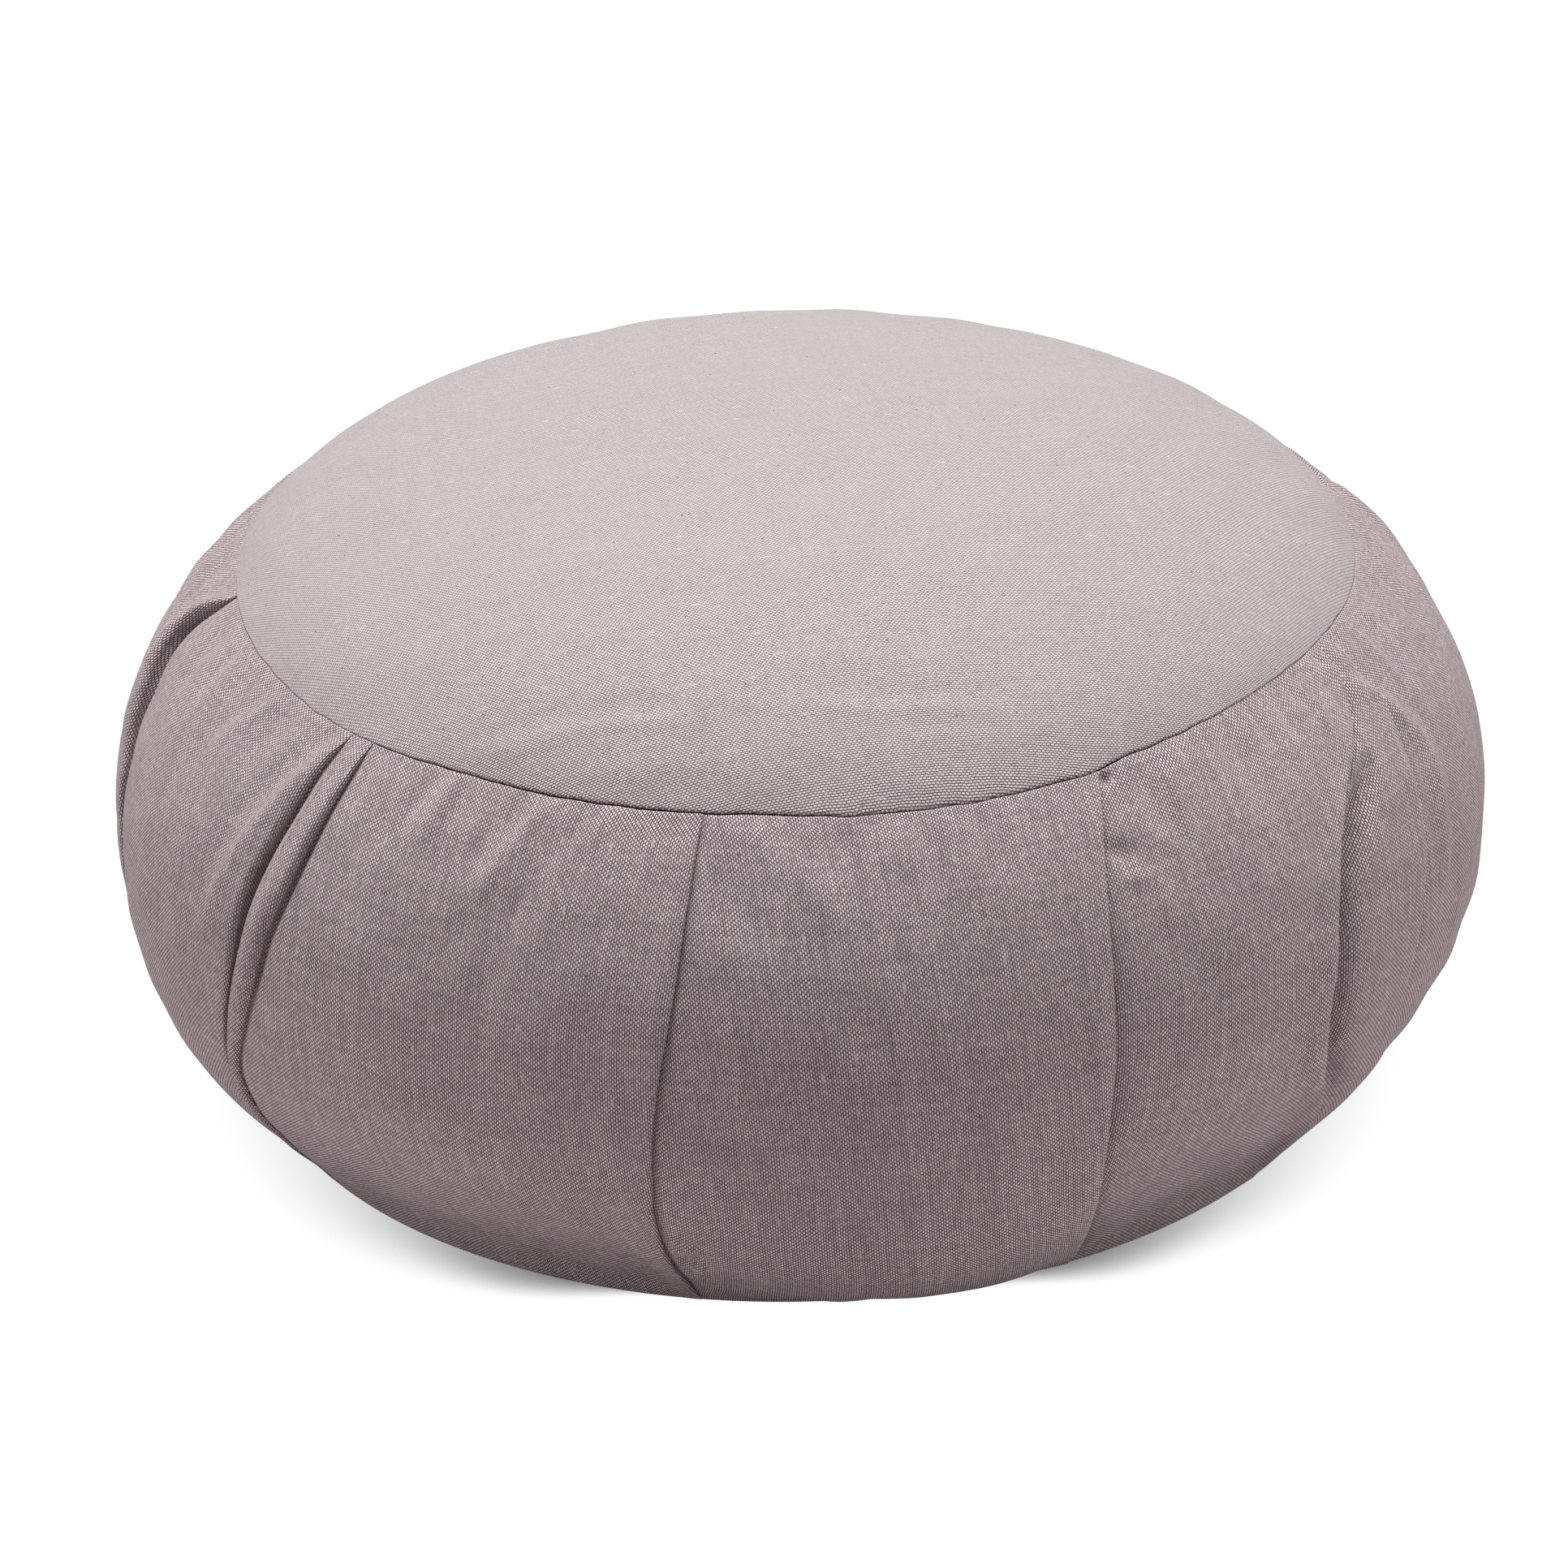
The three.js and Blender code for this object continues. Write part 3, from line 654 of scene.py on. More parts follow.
def wander(azimuth):
    """How far the top seam strays down from its true line: a curve through SEAM_LINE, plus a sum of
    waves round the cushion, the finest with the stitches."""
    degrees = np.degrees(turn_between(azimuth, 0.0))
    stray = sum(size * np.cos(n * azimuth + phase) for n, size, phase in WANDER)
    fine = STITCH_SIZE * np.cos(azimuth * round(2 * np.pi * TOP_SEAM_RADIUS / STITCH))
    return through(SEAM_LINE, degrees) + stray + fine


def in_front(azimuth):
    """1 at the front of the cushion, 0 round its sides and back, by the cosine of the azimuth."""
    return fade(np.cos(azimuth), 0.6, 0.9)


def roll_in(distance, azimuth):
    """Depth of the rolled edge at a distance from the seam: a quarter circle, whose radius is greatest
    at the front, where the seam is pulled most."""
    radius = SEAM_ROLL_REST + (SEAM_ROLL_FRONT - SEAM_ROLL_REST) * in_front(azimuth)
    reach = np.clip(radius - distance, 0, radius)
    return radius - np.sqrt(radius**2 - reach**2)


def settle(azimuth, radius, height):
    """A point of the cushion, in metres, from its azimuth, radius and height. The whole top leans a
    little to the right, and the rim stands higher over a mound."""
    rise = (height / TOP_SEAM_HEIGHT) ** 2
    lift = 0.0
    for place, most, spread in MOUNDS:
        beside = 1 - np.cos(azimuth - math.radians(place))
        lift = lift + most * rise * (radius / TOP_SEAM_RADIUS) ** 2 * np.exp(-beside / spread)
    x = radius * np.sin(azimuth) + TOP_SHIFT * rise
    return np.stack([x, -radius * np.cos(azimuth), height + lift], -1) * MM


def band_surface(azimuth, relief):
    """Points of the band: the plain profile, plus the relief along its normal, less the groove at each
    seam, plus the seam's wander, which dies away within a few millimetres. Away from the front the
    seam is drawn shut, so the band's edge comes up towards the panel."""
    radius, height, across, up = (a[:, None] for a in band_profile(down))
    out = relief - roll_in(down[:, None], azimuth) - roll_in(BAND_LENGTH - down[:, None], azimuth)
    stray = wander(azimuth) * np.exp(-down / WANDER_REACH)[:, None]
    stray -= SEAM_SHUT * (1 - in_front(azimuth)) * np.exp(-down / SHUT_REACH)[:, None]
    return settle(azimuth, radius + across * out + up * stray, height + up * out - across * stray)


band = band_surface(azimuth, relief)
middle = np.mean([np.array(corner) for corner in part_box("side_band")], 0)
own_middle = (band.min((0, 1)) + band.max((0, 1))) / 2
PLACE = (middle - own_middle) * (1, 1, 0)
print("moved by", (PLACE / MM).round(2), "mm to stand on the frame")

# %% [markdown]
# ## Lengths along the cloth
#
# The weave has to follow the cloth, round every folded edge, or it would smear there. So each point
# gets two lengths in metres: across, measured along its own row of the grid from the middle of its
# panel, and down. They go in a UV map. Every panel's threads lean a little, each its own way.

# %% Cloth coordinates of the band
LEAN = {0: 4, 2: 2, 3: 5, 4: -5, 5: -8, 6: -8}  # degrees, by panel; others hang straight
PANEL_OFFSET = 0.37  # metres of cloth from one panel to the next, so that no two show the same stretch


def cloth_across(points, azimuth):
    """Distance across the cloth at every point, for the face on its left and for the one on its right:
    the running length of its row, from the middle column of its panel, which itself counts from a fixed
    azimuth so that threads run straight."""
    step = np.linalg.norm(np.roll(points, -1, 1) - points, axis=2)
    running = np.cumsum(step, 1) - step
    radius = band_profile(down)[0] * MM
    as_left, as_right = np.zeros_like(azimuth), np.zeros_like(azimuth)
    turn = running[:, -1:] + step[:, -1:]
    for k in range(count):
        first, last = crease_columns[k], crease_columns[(k + 1) % count]
        columns = np.arange(first, last + 1 + (last < first) * azimuth.shape[1]) % azimuth.shape[1]
        along = running[:, columns] + turn * (columns < first)
        halfway = len(columns) // 2
        centre = azimuth[:, columns[halfway]]
        true = np.median(centre)
        shift = radius * turn_between(centre, true) - math.tan(math.radians(LEAN.get(k, 0))) * down * MM
        across = along - along[:, halfway:halfway + 1] + shift[:, None] + PANEL_OFFSET * k
        as_right[:, columns[:-1]] = across[:, :-1]
        as_left[:, columns[1:]] = across[:, 1:]
    return as_left, as_right


band_left, band_right = cloth_across(band, azimuth)
row_lengths = np.linalg.norm(np.diff(band, axis=1), axis=2).sum(1)
print("the longest row has", row_lengths.max().round(3), "m of cloth")

# %% [markdown]
# ## A closed piece from rows of points
#
# Every piece of this cushion is a stack of closed rings with a point at each end, so one helper makes
# them all. Its faces point outwards because each ring runs the same way round.

# %% Closed rings


def ring_piece(name, first, rows, last, cloth, material):
    """A closed mesh from rings of points, rows x sides x 3, and one point at each end. cloth is the UV
    map's lengths: down, and across for the face on the left and on the right of each point."""
    sides = rows.shape[1]
    points = np.concatenate([[first], rows.reshape(-1, 3), [last]]) + PLACE
    grid = 1 + np.arange(rows.size // 3).reshape(-1, sides)
    mesh = bpy.data.meshes.new(name)
    mesh.from_pydata(points, [], ring_faces(grid, 0, len(points) - 1))
    down_cloth, left_cloth, right_cloth = cloth
    right = np.stack([right_cloth, down_cloth], -1)
    left = np.roll(np.stack([left_cloth, down_cloth], -1), -1, 1)
    tip = np.zeros((sides, 2))
    squares = np.stack([right[:-1], right[1:], left[1:], left[:-1]], 2)
    ends = np.stack([tip, right[0], left[0]], 1), np.stack([tip, left[-1], right[-1]], 1)
    flat = np.concatenate([a.ravel() for a in (squares, *ends)]).astype(np.float32)
    mesh.uv_layers.new(name="cloth").data.foreach_set("uv", flat)
    mesh.shade_smooth()
    mesh.validate()
    mesh.materials.append(material)
    print(name, "has", 2 * grid.size, "triangles")
    return placed(name, mesh)


# %% [markdown]
# ## Canvas
#
# The canvas is a plain weave of two yarns: pale ecru ends over a mauve-grey ground. Close up each end
# shows as a row of oval floats, staggered from one end to the next, with painted shade in the dark gaps
# between. A picture of cloth would repeat and blur, so the weave is worked out from the lengths along the
# cloth: the whole part of a length counts the thread, the rest says how far across that thread a point lies.

# %% Wiring helper


class Wiring:
    """Adds nodes to one node tree. An input given as a socket is linked, any other value is set."""

    def __init__(self, tree):
        self.tree = tree

    def add(self, kind, inputs=(), **settings):
        """A node with its settings and then its inputs, by place or by name. Gives its outputs."""
        made = self.tree.nodes.new("ShaderNode" + kind)
        for name, value in settings.items():
            setattr(made, name, value)
        for key, value in (inputs.items() if isinstance(inputs, dict) else enumerate(inputs)):
            if isinstance(value, bpy.types.NodeSocket):
                self.tree.links.new(value, made.inputs[key])
            else:
                made.inputs[key].default_value = value
        return made.outputs

    def math(self, operation, *inputs):
        """One sum on numbers."""
        return self.add("Math", inputs, operation=operation)[0]

    def vector(self, operation, *inputs):
        """One sum on places or colours. A number stands for three equal ones."""
        return self.add("VectorMath", inputs, operation=operation)[0]

    def half(self, value):
        """A number from 0 to 1, less one half."""
        return self.math("SUBTRACT", value, 0.5)

    def noise(self, place, scale, detail, out=0):
        """Smooth noise about one half, as a number or, with out=1, as a colour."""
        return self.add("TexNoise", {"Vector": place, "Scale": scale, "Detail": detail})[out]

    def step(self, value, low, high, start=0.0, end=1.0):
        """A smooth step from start, at low, to end, at high."""
        return self.add("MapRange", (value, low, high, start, end), interpolation_type="SMOOTHSTEP")[0]

    def mix(self, share, a, b):
        """The colour a share of the way from a to b."""
        return self.add("Mix", {0: share, 6: a, 7: b}, data_type="RGBA")[2]


def new_group(name, inputs, outputs):
    """An empty shader node group with named sockets, given as (name, kind, default)."""
    tree = bpy.data.node_groups.new(name, "ShaderNodeTree")
    for socket_name, kind, default in inputs:
        socket = tree.interface.new_socket(socket_name, in_out="INPUT", socket_type="NodeSocket" + kind)
        if default is not None:
            socket.default_value = default
    for socket_name, kind in outputs:
        tree.interface.new_socket(socket_name, in_out="OUTPUT", socket_type="NodeSocket" + kind)
    entry = tree.nodes.new("NodeGroupInput")
    leave = tree.nodes.new("NodeGroupOutput")
    return Wiring(tree), entry.outputs, leave.inputs


# %% Weave group
# ECRU and MAUVE are the two yarns. SHADOW is painted shade: the dark of the gaps between the threads.
ECRU = (0.86, 0.765, 0.735, 1)
MAUVE = (0.19, 0.131, 0.165, 1)
SHADOW = (0.040, 0.023, 0.034, 1)
FINE_SCALE, SLOW_SCALE, SLOW_STRAY = 0.45, 0.03, 0.8  # how the threads stray, a millimetre at most
SLUB = (1.1, 0.045)  # scales of a thick place in a yarn, across it and along it
SLUB_WIDE, SLUB_LONG, FLOAT_THICK = 0.16, -0.30, 0.06
END_TONE, FLOAT_TONE, PICK_TONE = 0.16, 0.26, 0.3
GROUND_WIDTH, GROUND_LENGTH, GROUND_RISE = 0.72, 0.62, 0.72
FLOAT_EDGE, GROUND_EDGE = (1.06, 0.78), (1.05, 0.6)
FIBRE_SCALE, FIBRE_RISE = (14.0, 5.0, 0), 0.18


def weave_group():
    """Plain weave. End and pick counts are cloth lengths over the pitches, less their whole parts. A
    float is an ellipse one end wide and nearly two picks long, its rows staggered by one pick; the
    other yarn shows as an ellipse across, between two floats."""
    w, given, result = new_group(
        "plain weave",
        [("Cloth", "Vector", None), ("Float colour", "Color", ECRU), ("Ground colour", "Color", MAUVE),
         ("Gap shade colour", "Color", SHADOW), ("End pitch", "Float", 0.59), ("Pick pitch", "Float", 0.52),
         ("Float width", "Float", 0.38), ("Float length", "Float", 0.76), ("Unevenness", "Float", 1.0),
         ("Wobble", "Float", 0.24)],
        [("Colour", "Color"), ("Height", "Float")])
    cloth, uneven = given["Cloth"], given["Unevenness"]

    def stray(scale, most):
        """A slow move of the threads: most (noise - 1/2), each way."""
        middle = w.vector("SUBTRACT", w.noise(cloth, scale, 1.0, out=1), (0.5, 0.5, 0.5))
        return w.add("VectorMath", {0: middle, "Scale": most}, operation="SCALE")[0]

    def oval(across, wide, along, long, power):
        """Distance from the middle of an oval, 1 at its edge: sqrt((across / wide)^2 + |along / long|^n)."""
        sides = [w.math("POWER", w.math("ABSOLUTE", w.math("DIVIDE", a, size)), n)
                 for a, size, n in ((across, wide, 2.0), (along, long, power))]
        return w.math("SQRT", w.math("ADD", *sides))

    def dome(far):
        """Height over an oval: sqrt(1 - far^2), and nothing outside."""
        return w.math("SQRT", w.math("MAXIMUM", w.math("SUBTRACT", 1.0, w.math("POWER", far, 2.0)), 0.0))

    def varied(middle, noise, most):
        """middle + most unevenness (noise - 1/2)."""
        return w.math("MULTIPLY_ADD", w.half(noise), w.math("MULTIPLY", uneven, most), middle)

    strays = w.vector("ADD", stray(FINE_SCALE, given["Wobble"]), stray(SLOW_SCALE, SLOW_STRAY))
    sideways, lengthwise, _ = w.add("SeparateXYZ", (w.vector("ADD", cloth, strays),))
    ends = w.math("DIVIDE", sideways, given["End pitch"])
    picks = w.math("DIVIDE", lengthwise, given["Pick pitch"])
    end_number = w.math("FLOOR", ends)
    pick_number = w.math("FLOOR", w.math("ADD", picks, 0.5))
    pairs = w.math("MULTIPLY", w.math("ADD", picks, end_number), 0.5)
    beside = w.half(w.math("FRACT", ends))
    along = w.math("MULTIPLY", w.half(w.math("FRACT", pairs)), 2.0)
    each_end = w.add("TexWhiteNoise", {"W": end_number}, noise_dimensions="1D")[0]
    each_pick = w.add("TexWhiteNoise", {"W": w.math("ADD", pick_number, 0.37)}, noise_dimensions="1D")[0]
    place = w.add("CombineXYZ", (end_number, w.math("FLOOR", pairs), 0.0))[0]
    each_float = w.add("TexWhiteNoise", {"Vector": place}, noise_dimensions="2D")[0]
    slub_down = w.noise(w.vector("MULTIPLY", cloth, (*SLUB, 0)), 1.0, 2.0)
    slub_across = w.noise(w.vector("MULTIPLY", cloth, (*SLUB[::-1], 0)), 1.0, 2.0)
    wide = varied(given["Float width"], slub_down, SLUB_WIDE)
    wide = w.math("MULTIPLY_ADD", w.half(each_float), FLOAT_THICK, wide)
    long = varied(given["Float length"], slub_across, SLUB_LONG)
    float_far = oval(beside, wide, along, long, 2.4)
    over = w.math("SUBTRACT", 1.0, w.math("ABSOLUTE", along))
    ground_far = oval(beside, GROUND_WIDTH, over, GROUND_LENGTH, 2.0)
    float_tone = varied(varied(1.0, each_float, FLOAT_TONE), each_end, END_TONE)
    float_colour = w.vector("MULTIPLY", given["Float colour"], float_tone)
    ground_colour = w.vector("MULTIPLY", given["Ground colour"], varied(1.0, each_pick, PICK_TONE))
    # Painted shade: outside the ground yarn's oval, the gap between the threads takes the dark gap shade
    # colour.
    under = w.mix(w.step(ground_far, *GROUND_EDGE), given["Gap shade colour"], ground_colour)
    w.tree.links.new(w.mix(w.step(float_far, *FLOAT_EDGE), under, float_colour), result["Colour"])
    fibre = w.noise(w.vector("MULTIPLY", cloth, FIBRE_SCALE), 1.0, 2.0)
    height = w.math("MAXIMUM", dome(float_far), w.math("MULTIPLY", dome(ground_far), GROUND_RISE))
    w.tree.links.new(w.math("MULTIPLY_ADD", fibre, FIBRE_RISE, height), result["Height"])
    return w.tree


weave = weave_group()
print("the weave group has", len(weave.nodes), "nodes")

# %% Flecks group
SPECKS = [
    # spacing in mm, stretch down, speck radius in mm, share of cells, colour, strength
    (9.0, 1.0, 0.34, 0.35, (0.07, 0.045, 0.05, 1), 0.75),
    (11.0, 0.8, 0.38, 0.22, (0.33, 0.24, 0.13, 1), 0.55),
    (7.5, 0.28, 0.42, 0.40, (0.66, 0.62, 0.58, 1), 0.60),
]
SPECK_CORE = 0.4


def flecks_group():
    """Neps and slubs. Each cell of a cellular pattern may hold one speck: where the distance to the
    cell's own point is small and the cell's random colour says so."""
    w, given, result = new_group(
        "flecks", [("Cloth", "Vector", None), ("Colour", "Color", (0.5, 0.5, 0.5, 1))], [("Colour", "Color")])
    colour = given["Colour"]
    for number, (spacing, stretch, radius, share, tint, strength) in enumerate(SPECKS):
        place = w.vector("ADD", w.vector("MULTIPLY", given["Cloth"], (1.0, stretch, 0)),
                         (number * 37.0, 11.0, 0))
        cell = w.add("TexVoronoi", {"Vector": place, "Scale": 1 / spacing}, voronoi_dimensions="2D")
        chance = w.add("SeparateColor", (cell["Color"],))[0]
        near = w.step(cell["Distance"], radius / spacing, SPECK_CORE * radius / spacing)
        amount = w.math("MULTIPLY", w.math("MULTIPLY", near, w.math("LESS_THAN", chance, share)), strength)
        colour = w.mix(amount, colour, tint)
    w.tree.links.new(colour, result["Colour"])
    return w.tree


flecks = flecks_group()
print(len(SPECKS), "kinds of specks")

# %% Heather group


def heather_group():
    """Slow unevenness of the dyed yarn: broad noise stretched along both thread directions, as a
    factor about 1."""
    w, given, result = new_group(
        "heather", [("Cloth", "Vector", None), ("Amount", "Float", 0.16)], [("Factor", "Float")])
    total = None
    for stretch, scale in (((1.0, 0.12, 0), 0.35), ((0.12, 1.0, 0), 0.35), ((1.0, 1.0, 0), 0.045)):
        place = w.vector("MULTIPLY", given["Cloth"], stretch)
        noise = w.half(w.noise(place, scale, 3.0))
        total = noise if total is None else w.math("ADD", total, noise)
    w.tree.links.new(w.math("MULTIPLY_ADD", total, given["Amount"], 1.0), result["Factor"])
    return w.tree


heather = heather_group()
print("the heather group has", len(heather.nodes), "nodes")

# %% Canvas material
# Painted sheen: over these spans of y the top panel's colour is blended towards a flat pale grey, more at the
# back than at the front edge.
SHEEN_NEAR, SHEEN_FAR = (-0.13, -0.06, 0.0, 0.3), (-0.02, 0.1, 0.0, 0.25)  # from y, to y, shares
SURFACE = {"Roughness": 0.92, "Specular IOR Level": 0.25, "Sheen Weight": 0.08, "Sheen Roughness": 0.5}


def canvas(name, turned=False, skew=0.0, tint=(1.0, 1.0, 1.0), yarns=(), unevenness=0.16, painted_sheen=None):
    """The canvas on one piece. turned says whether its ends run across the piece instead of down it,
    and skew how far the cloth is out of square. yarns holds values of the weave that differ from its
    own, and unevenness that of the dye. painted_sheen is a painted sheen: a flat pale colour that the
    canvas is blended towards, less at the front edge than further back."""
    material = bpy.data.materials.new(name)
    material.use_nodes = True
    w = Wiring(material.node_tree)
    lengths = w.vector("MULTIPLY", w.add("UVMap", uv_map="cloth")[0], (1 / MM, 1 / MM, 0.0))
    angle = math.radians(90 if turned else 0) + math.radians(skew)
    cloth = w.add("Mapping", {"Vector": lengths, "Rotation": (0, 0, angle)})[0]
    woven = w.add("Group", dict(yarns, Cloth=cloth), node_tree=weave)
    colour = woven["Colour"]
    # Painted sheen, blended in by the place along y.
    if painted_sheen is not None:
        y = w.add("SeparateXYZ", (w.add("TexCoord")["Object"],))[1]
        colour = w.mix(w.math("ADD", w.step(y, *SHEEN_NEAR), w.step(y, *SHEEN_FAR)), colour, painted_sheen)
    flecked = w.add("Group", {"Cloth": cloth, "Colour": colour}, node_tree=flecks)[0]
    dyed = w.add("Group", {"Cloth": cloth, "Amount": unevenness}, node_tree=heather)[0]
    base = w.vector("MULTIPLY", w.vector("MULTIPLY", flecked, tint), dyed)
    bump = w.add("Bump", {"Strength": 0.7, "Distance": 0.00018, "Height": woven["Height"]})[0]
    shader = w.tree.nodes["Principled BSDF"]
    w.tree.links.new(base, shader.inputs["Base Color"])
    w.tree.links.new(bump, shader.inputs["Normal"])
    for key, value in SURFACE.items():
        shader.inputs[key].default_value = value
    return material


# Painted light: the top panel's yarns are the same yarns as lit from above, lower in contrast than the
# band's, with darker floats and a lighter ground. The band and the base keep the high-contrast weave with its
# shaded gaps.
PANEL_LIT_YARNS = {"Float colour": (0.739, 0.690, 0.676, 1), "Ground colour": (0.235, 0.150, 0.203, 1),
               "Gap shade colour": (0.035, 0.022, 0.030, 1), "Float width": 0.43, "Float length": 0.84,
               "Unevenness": 0.35, "Wobble": 0.34}
PANEL_SHEEN = (0.440, 0.412, 0.406, 1)
panel_canvas = canvas("panel canvas", turned=True, skew=-10.0, tint=(0.995, 0.99, 0.985), yarns=PANEL_LIT_YARNS,
                      unevenness=0.07, painted_sheen=PANEL_SHEEN)
band_canvas = canvas("band canvas", tint=(0.935, 0.92, 0.955))
base_canvas = canvas("base canvas")
print("materials:", [m.name for m in (panel_canvas, band_canvas, base_canvas)])

# %% [markdown]
# ## The side band
#
# The band is the cushion's body: it holds the fill, so its mesh is closed by a crown under the top
# panel and a floor over the bottom panel, both out of sight.

# %% Band piece
inset = CANVAS + GAP


def rings_at(profile, azimuths):
    """Rings of points, in metres, at the radii and heights of a profile and at given azimuths."""
    profile = np.asarray(profile)[:, None]
    return settle(azimuths, profile[..., 0], profile[..., 1])


above = [*crown_point(np.array([0.35, 0.65, 0.85, 0.95, 1.0]), inset),
         away(crown_point(1.0, inset), GAP, -crown_slope(CROWN_CUT))]
below = [away(heel_point(1.0, inset), GAP, HEEL_ANGLE), *heel_point([0.5, 0.0], inset)]
body = np.concatenate([rings_at(above, azimuth[0]), band, rings_at(below, azimuth[-1])])
body_down = np.concatenate([np.linspace(-60, -2, len(above)), down,
                            BAND_LENGTH + np.linspace(2, 30, len(below))]) * MM
body_cloth = [np.broadcast_to(body_down[:, None], body.shape[:2])]
body_cloth += [np.pad(a, ((len(above), len(below)), (0, 0)), "edge") for a in (band_left, band_right)]
band_cover = ring_piece("band_cover", settle(0.0, 0.0, TOP_SEAM_HEIGHT + TOP_CROWN - inset), body,
                        settle(0.0, 0.0, inset), body_cloth, band_canvas)

# %% [markdown]
# ## The round panels
#
# A panel is a shell of canvas: its face, a rolled edge at the seam, and its back. The rings lie close
# together near the seam. Its threads run straight across the whole panel, so the cloth lengths are
# those of a flat disc that was laid over the crown.

# %% Top panel
TOP_SIDES = 480
sides = np.arange(TOP_SIDES) * 2 * np.pi / TOP_SIDES
dense_share = np.linspace(0, 1, 4000)
dense_down = running_length(crown_point(dense_share))
TOP_REACH = dense_down[-1]
face_down = np.concatenate([np.arange(2.4, 95, 2.4), np.arange(95, TOP_REACH - 4, 1.3),
                            TOP_REACH - SEAM_ROWS[::-1]])
TOP_WRINKLES = [
    # rise and half width in mm, then points of (x, y) in mm
    (0.45, 2.2, [(-82, -113), (-66.1, -117.7), (-54.4, -117.5), (-40, -118.5), (-24, -121)]),
    (-0.4, 3.0, [(-70, -112), (-58, -112.5), (-44, -114), (-28, -116)]),
    (0.3, 2.5, [(-48, -128), (-30, -131), (-12, -132)]),
    (0.35, 2.2, [(-10, -118), (20, -120), (52, -116)]),
    (-0.3, 2.8, [(-6, -113), (22, -115), (50, -111)]),
    (0.25, 2.2, [(24, -127), (45, -124), (62, -118)]),
    (0.25, 2.5, [(4, -104), (24, -105), (44, -103)]),
]
TOP_WAVES = 30
TOP_LUMPS = [(float(k), float(turn), float(phase)) for k, turn, phase in zip(
    2 * np.pi / rng.uniform(20, 90, TOP_WAVES), rng.uniform(0, 2 * np.pi, TOP_WAVES),
    rng.uniform(0, 2 * np.pi, TOP_WAVES))]


def top_relief(x, y, reach):
    """Unevenness of the top panel in mm: its few wrinkles near the front, and the small waves of the
    fill, which die away towards the seam."""
    out = sum(LUMP_SIZE * np.cos(k * (x * math.cos(turn) + y * math.sin(turn)) + phase)
              for k, turn, phase in TOP_LUMPS)
    for rise, width, path in TOP_WRINKLES:
        out = out + wrinkle(x, y, rise, width, np.array(path, float))
    return out * fade(TOP_REACH - reach, 0, 6)


def top_face(azimuth, reach):
    """Points of the top panel's face: the crown, less the rolled edge, plus the relief along its own
    normal and the seam's wander, which dies away within a few millimetres."""
    share = np.interp(reach, dense_down, dense_share)
    radius, height = np.moveaxis(crown_point(share), -1, 0)
    slope = crown_slope(CROWN_CUT * np.sin(share * np.pi / 2))
    out = top_relief(radius * np.sin(azimuth), -radius * np.cos(azimuth), reach)
    out = out - roll_in(TOP_REACH - reach, azimuth)
    stray = wander(azimuth) * np.exp(-(TOP_REACH - reach) / WANDER_REACH)
    radius = radius + out * np.sin(slope) + stray * np.cos(slope)
    return settle(azimuth, radius, height + out * np.cos(slope) - stray * np.sin(slope))


def flat_cloth(reach):
    """Cloth lengths of a flat disc, at distances in mm from its middle."""
    reach = np.asarray(reach)[:, None] * MM
    return -reach * np.cos(sides), reach * np.sin(sides), reach * np.sin(sides)


back_share = np.array([1.0, 0.97, 0.9, 0.75, 0.5, 0.25])
face_and_back = np.concatenate([top_face(sides, face_down[:, None]),
                                rings_at(crown_point(back_share, CANVAS), sides)])
top_cloth = flat_cloth([*face_down, *np.interp(back_share, dense_share, dense_down)])
top_cover = ring_piece("top_cover", settle(0.0, 0.0, TOP_SEAM_HEIGHT + TOP_CROWN), face_and_back,
                       settle(0.0, 0.0, TOP_SEAM_HEIGHT + TOP_CROWN - CANVAS), top_cloth, panel_canvas)

# %% Bottom panel
REST_RINGS = (40.0, 75.0, 100.0)
heel_shares = np.linspace(0, 1, 14)
rim_roll = roll_in((1 - heel_shares[::-1]) * HEEL_ANGLE * HEEL_RADIUS, np.pi)
base_profile = np.concatenate([[[r, CANVAS] for r in REST_RINGS], heel_point(heel_shares, CANVAS),
                               heel_point(heel_shares[::-1], rim_roll), [[r, 0.0] for r in REST_RINGS[::-1]]])
base_cover = ring_piece("base_cover", settle(0.0, 0.0, CANVAS), rings_at(base_profile, sides),
                        settle(0.0, 0.0, 0.0), flat_cloth(base_profile[:, 0]), base_canvas)

# %% [markdown]
# ## What each piece stands for
#
# The three cloth pieces take the places of the three plain solids and ride on the cushion's one body.

# %% Ties to the frame
for piece, node, slot, fill in (
    (top_cover, "top_panel", "panel_canvas", 0.85),
    (band_cover, "side_band", "band_canvas", 0.85),
    (base_cover, "bottom_panel", "base_canvas", 0.85),
):
    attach(piece, "root")
    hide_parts(node)
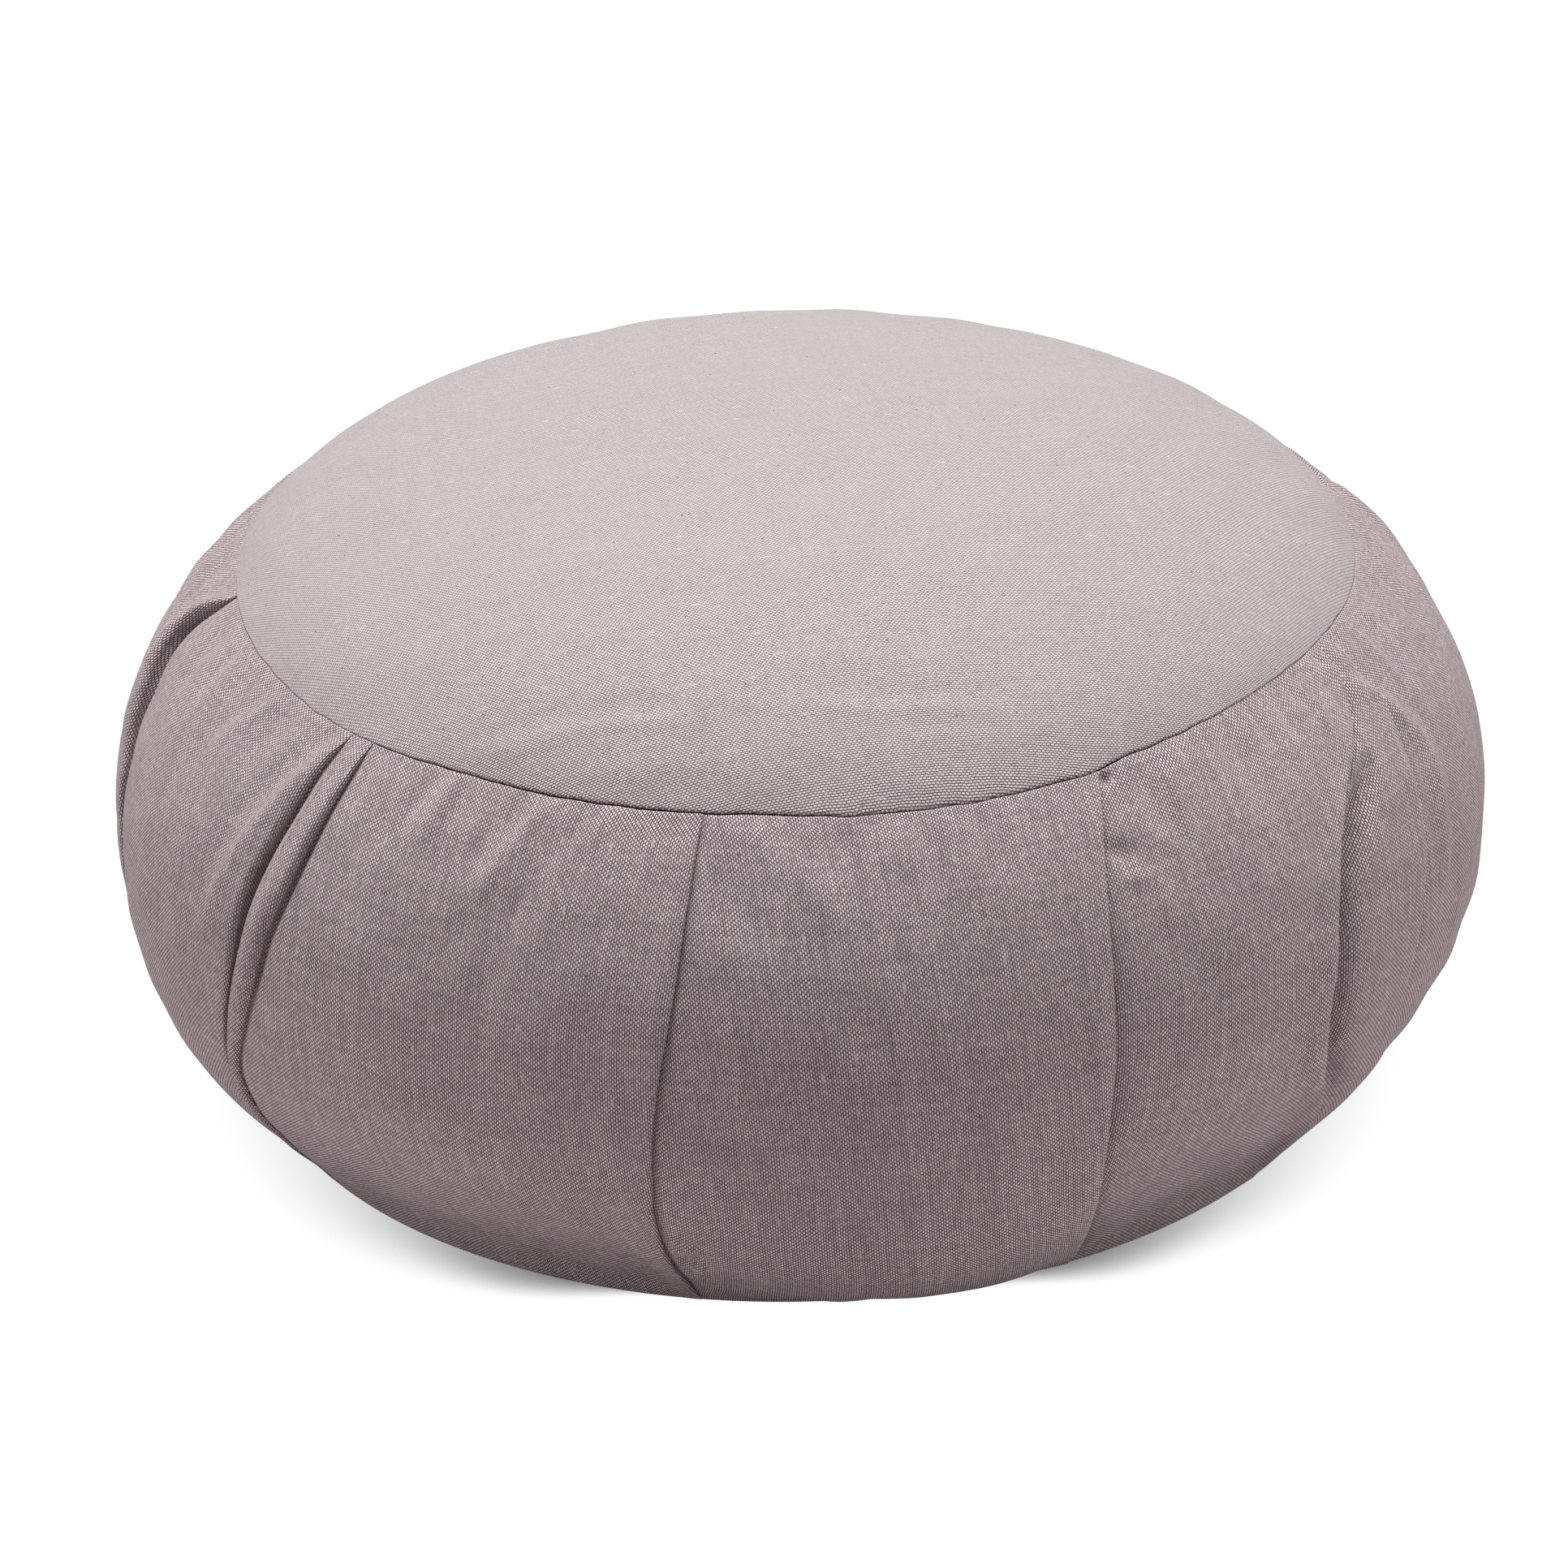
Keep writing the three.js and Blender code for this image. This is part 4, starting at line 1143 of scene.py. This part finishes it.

# %% [markdown]
# ## Floor and light
#
# The floor is plain and pale. The camera sees it as an even white glow with a painted shadow, which
# darkens only close to the cushion's foot, by ambient occlusion, tighter and darker at the front than at
# the sides, because a lit floor would show each lamp's pool of light. For all other rays it is plain
# paint. One large soft lamp hangs above and slightly behind the cushion, so the crown is bright and the
# shadow stays close to the foot, and two weak ones stand at the sides.

# %% Floor
FLOOR_HALF, FLOOR_LEVEL = 8.0, -0.0003
floor_mesh = bpy.data.meshes.new("floor")
floor_mesh.from_pydata([(x * FLOOR_HALF, y * FLOOR_HALF, FLOOR_LEVEL)
                        for x, y in ((-1, -1), (1, -1), (1, 1), (-1, 1))], [], [(0, 1, 2, 3)])
floor_paint = bpy.data.materials.new("floor paint")
floor_paint.use_nodes = True
w = Wiring(floor_paint.node_tree)
floor_shader = w.tree.nodes["Principled BSDF"]
floor_shader.inputs["Roughness"].default_value = 0.9
floor_shader.inputs["Specular IOR Level"].default_value = 0.1
floor_shader.inputs["Base Color"].default_value = (0.66, 0.60, 0.62, 1)
# Painted shadow: for the camera the floor glows white. Ambient occlusion darkens it, with a reach and depth
# set by the distance aside from the middle: short and dark at the front, wide and faint at the sides.
aside = w.math("ABSOLUTE", w.add("SeparateXYZ", (w.add("TexCoord")["Object"],))[0])
near = w.add("AmbientOcclusion", {"Distance": w.step(aside, 0.03, 0.14, 0.0025, 0.022)})["AO"]
painted_shadow_tone = w.step(near, 0.05, 0.85, w.step(aside, 0.04, 0.15, 0.06, 0.84), 1.0)
bright = w.add("Emission", {"Color": painted_shadow_tone, "Strength": 1.02})[0]
both = w.add("MixShader", (w.add("LightPath")["Is Camera Ray"], floor_shader.outputs[0], bright))[0]
w.tree.links.new(both, w.tree.nodes["Material Output"].inputs["Surface"])
floor_mesh.materials.append(floor_paint)
floor = placed("floor", floor_mesh)
print("the floor is", 2 * FLOOR_HALF, "m wide")

# %% Lamps
LAMPS = [
    # name, place, target, size, power
    ("key", (-0.05, 0.36, 2.3), (0.0, 0.0, 0.1), 1.5, 64.0),
    ("left", (-2.4, -0.1, 0.9), (0.0, 0.0, 0.08), 1.0, 13.0),
    ("right", (2.35, -0.25, 0.8), (0.0, 0.0, 0.06), 1.0, 13.5),
]
for name, place, target, size, power in LAMPS:
    light = bpy.data.lights.new(name, "AREA")
    light.shape = "DISK"
    light.size = size
    light.energy = power
    placed(name, light).matrix_world = aimed(place, target)
world = bpy.data.worlds.new("studio")
world.use_nodes = True
world.node_tree.nodes["Background"].inputs["Color"].default_value = (1.0, 0.9, 0.95, 1)
world.node_tree.nodes["Background"].inputs["Strength"].default_value = 0.18
bpy.context.scene.world = world
bpy.context.scene.view_settings.view_transform = "Standard"
bpy.context.scene.cycles.denoising_prefilter = "NONE"  # keeps the weave when few samples are taken
print(len(LAMPS), "lamps")
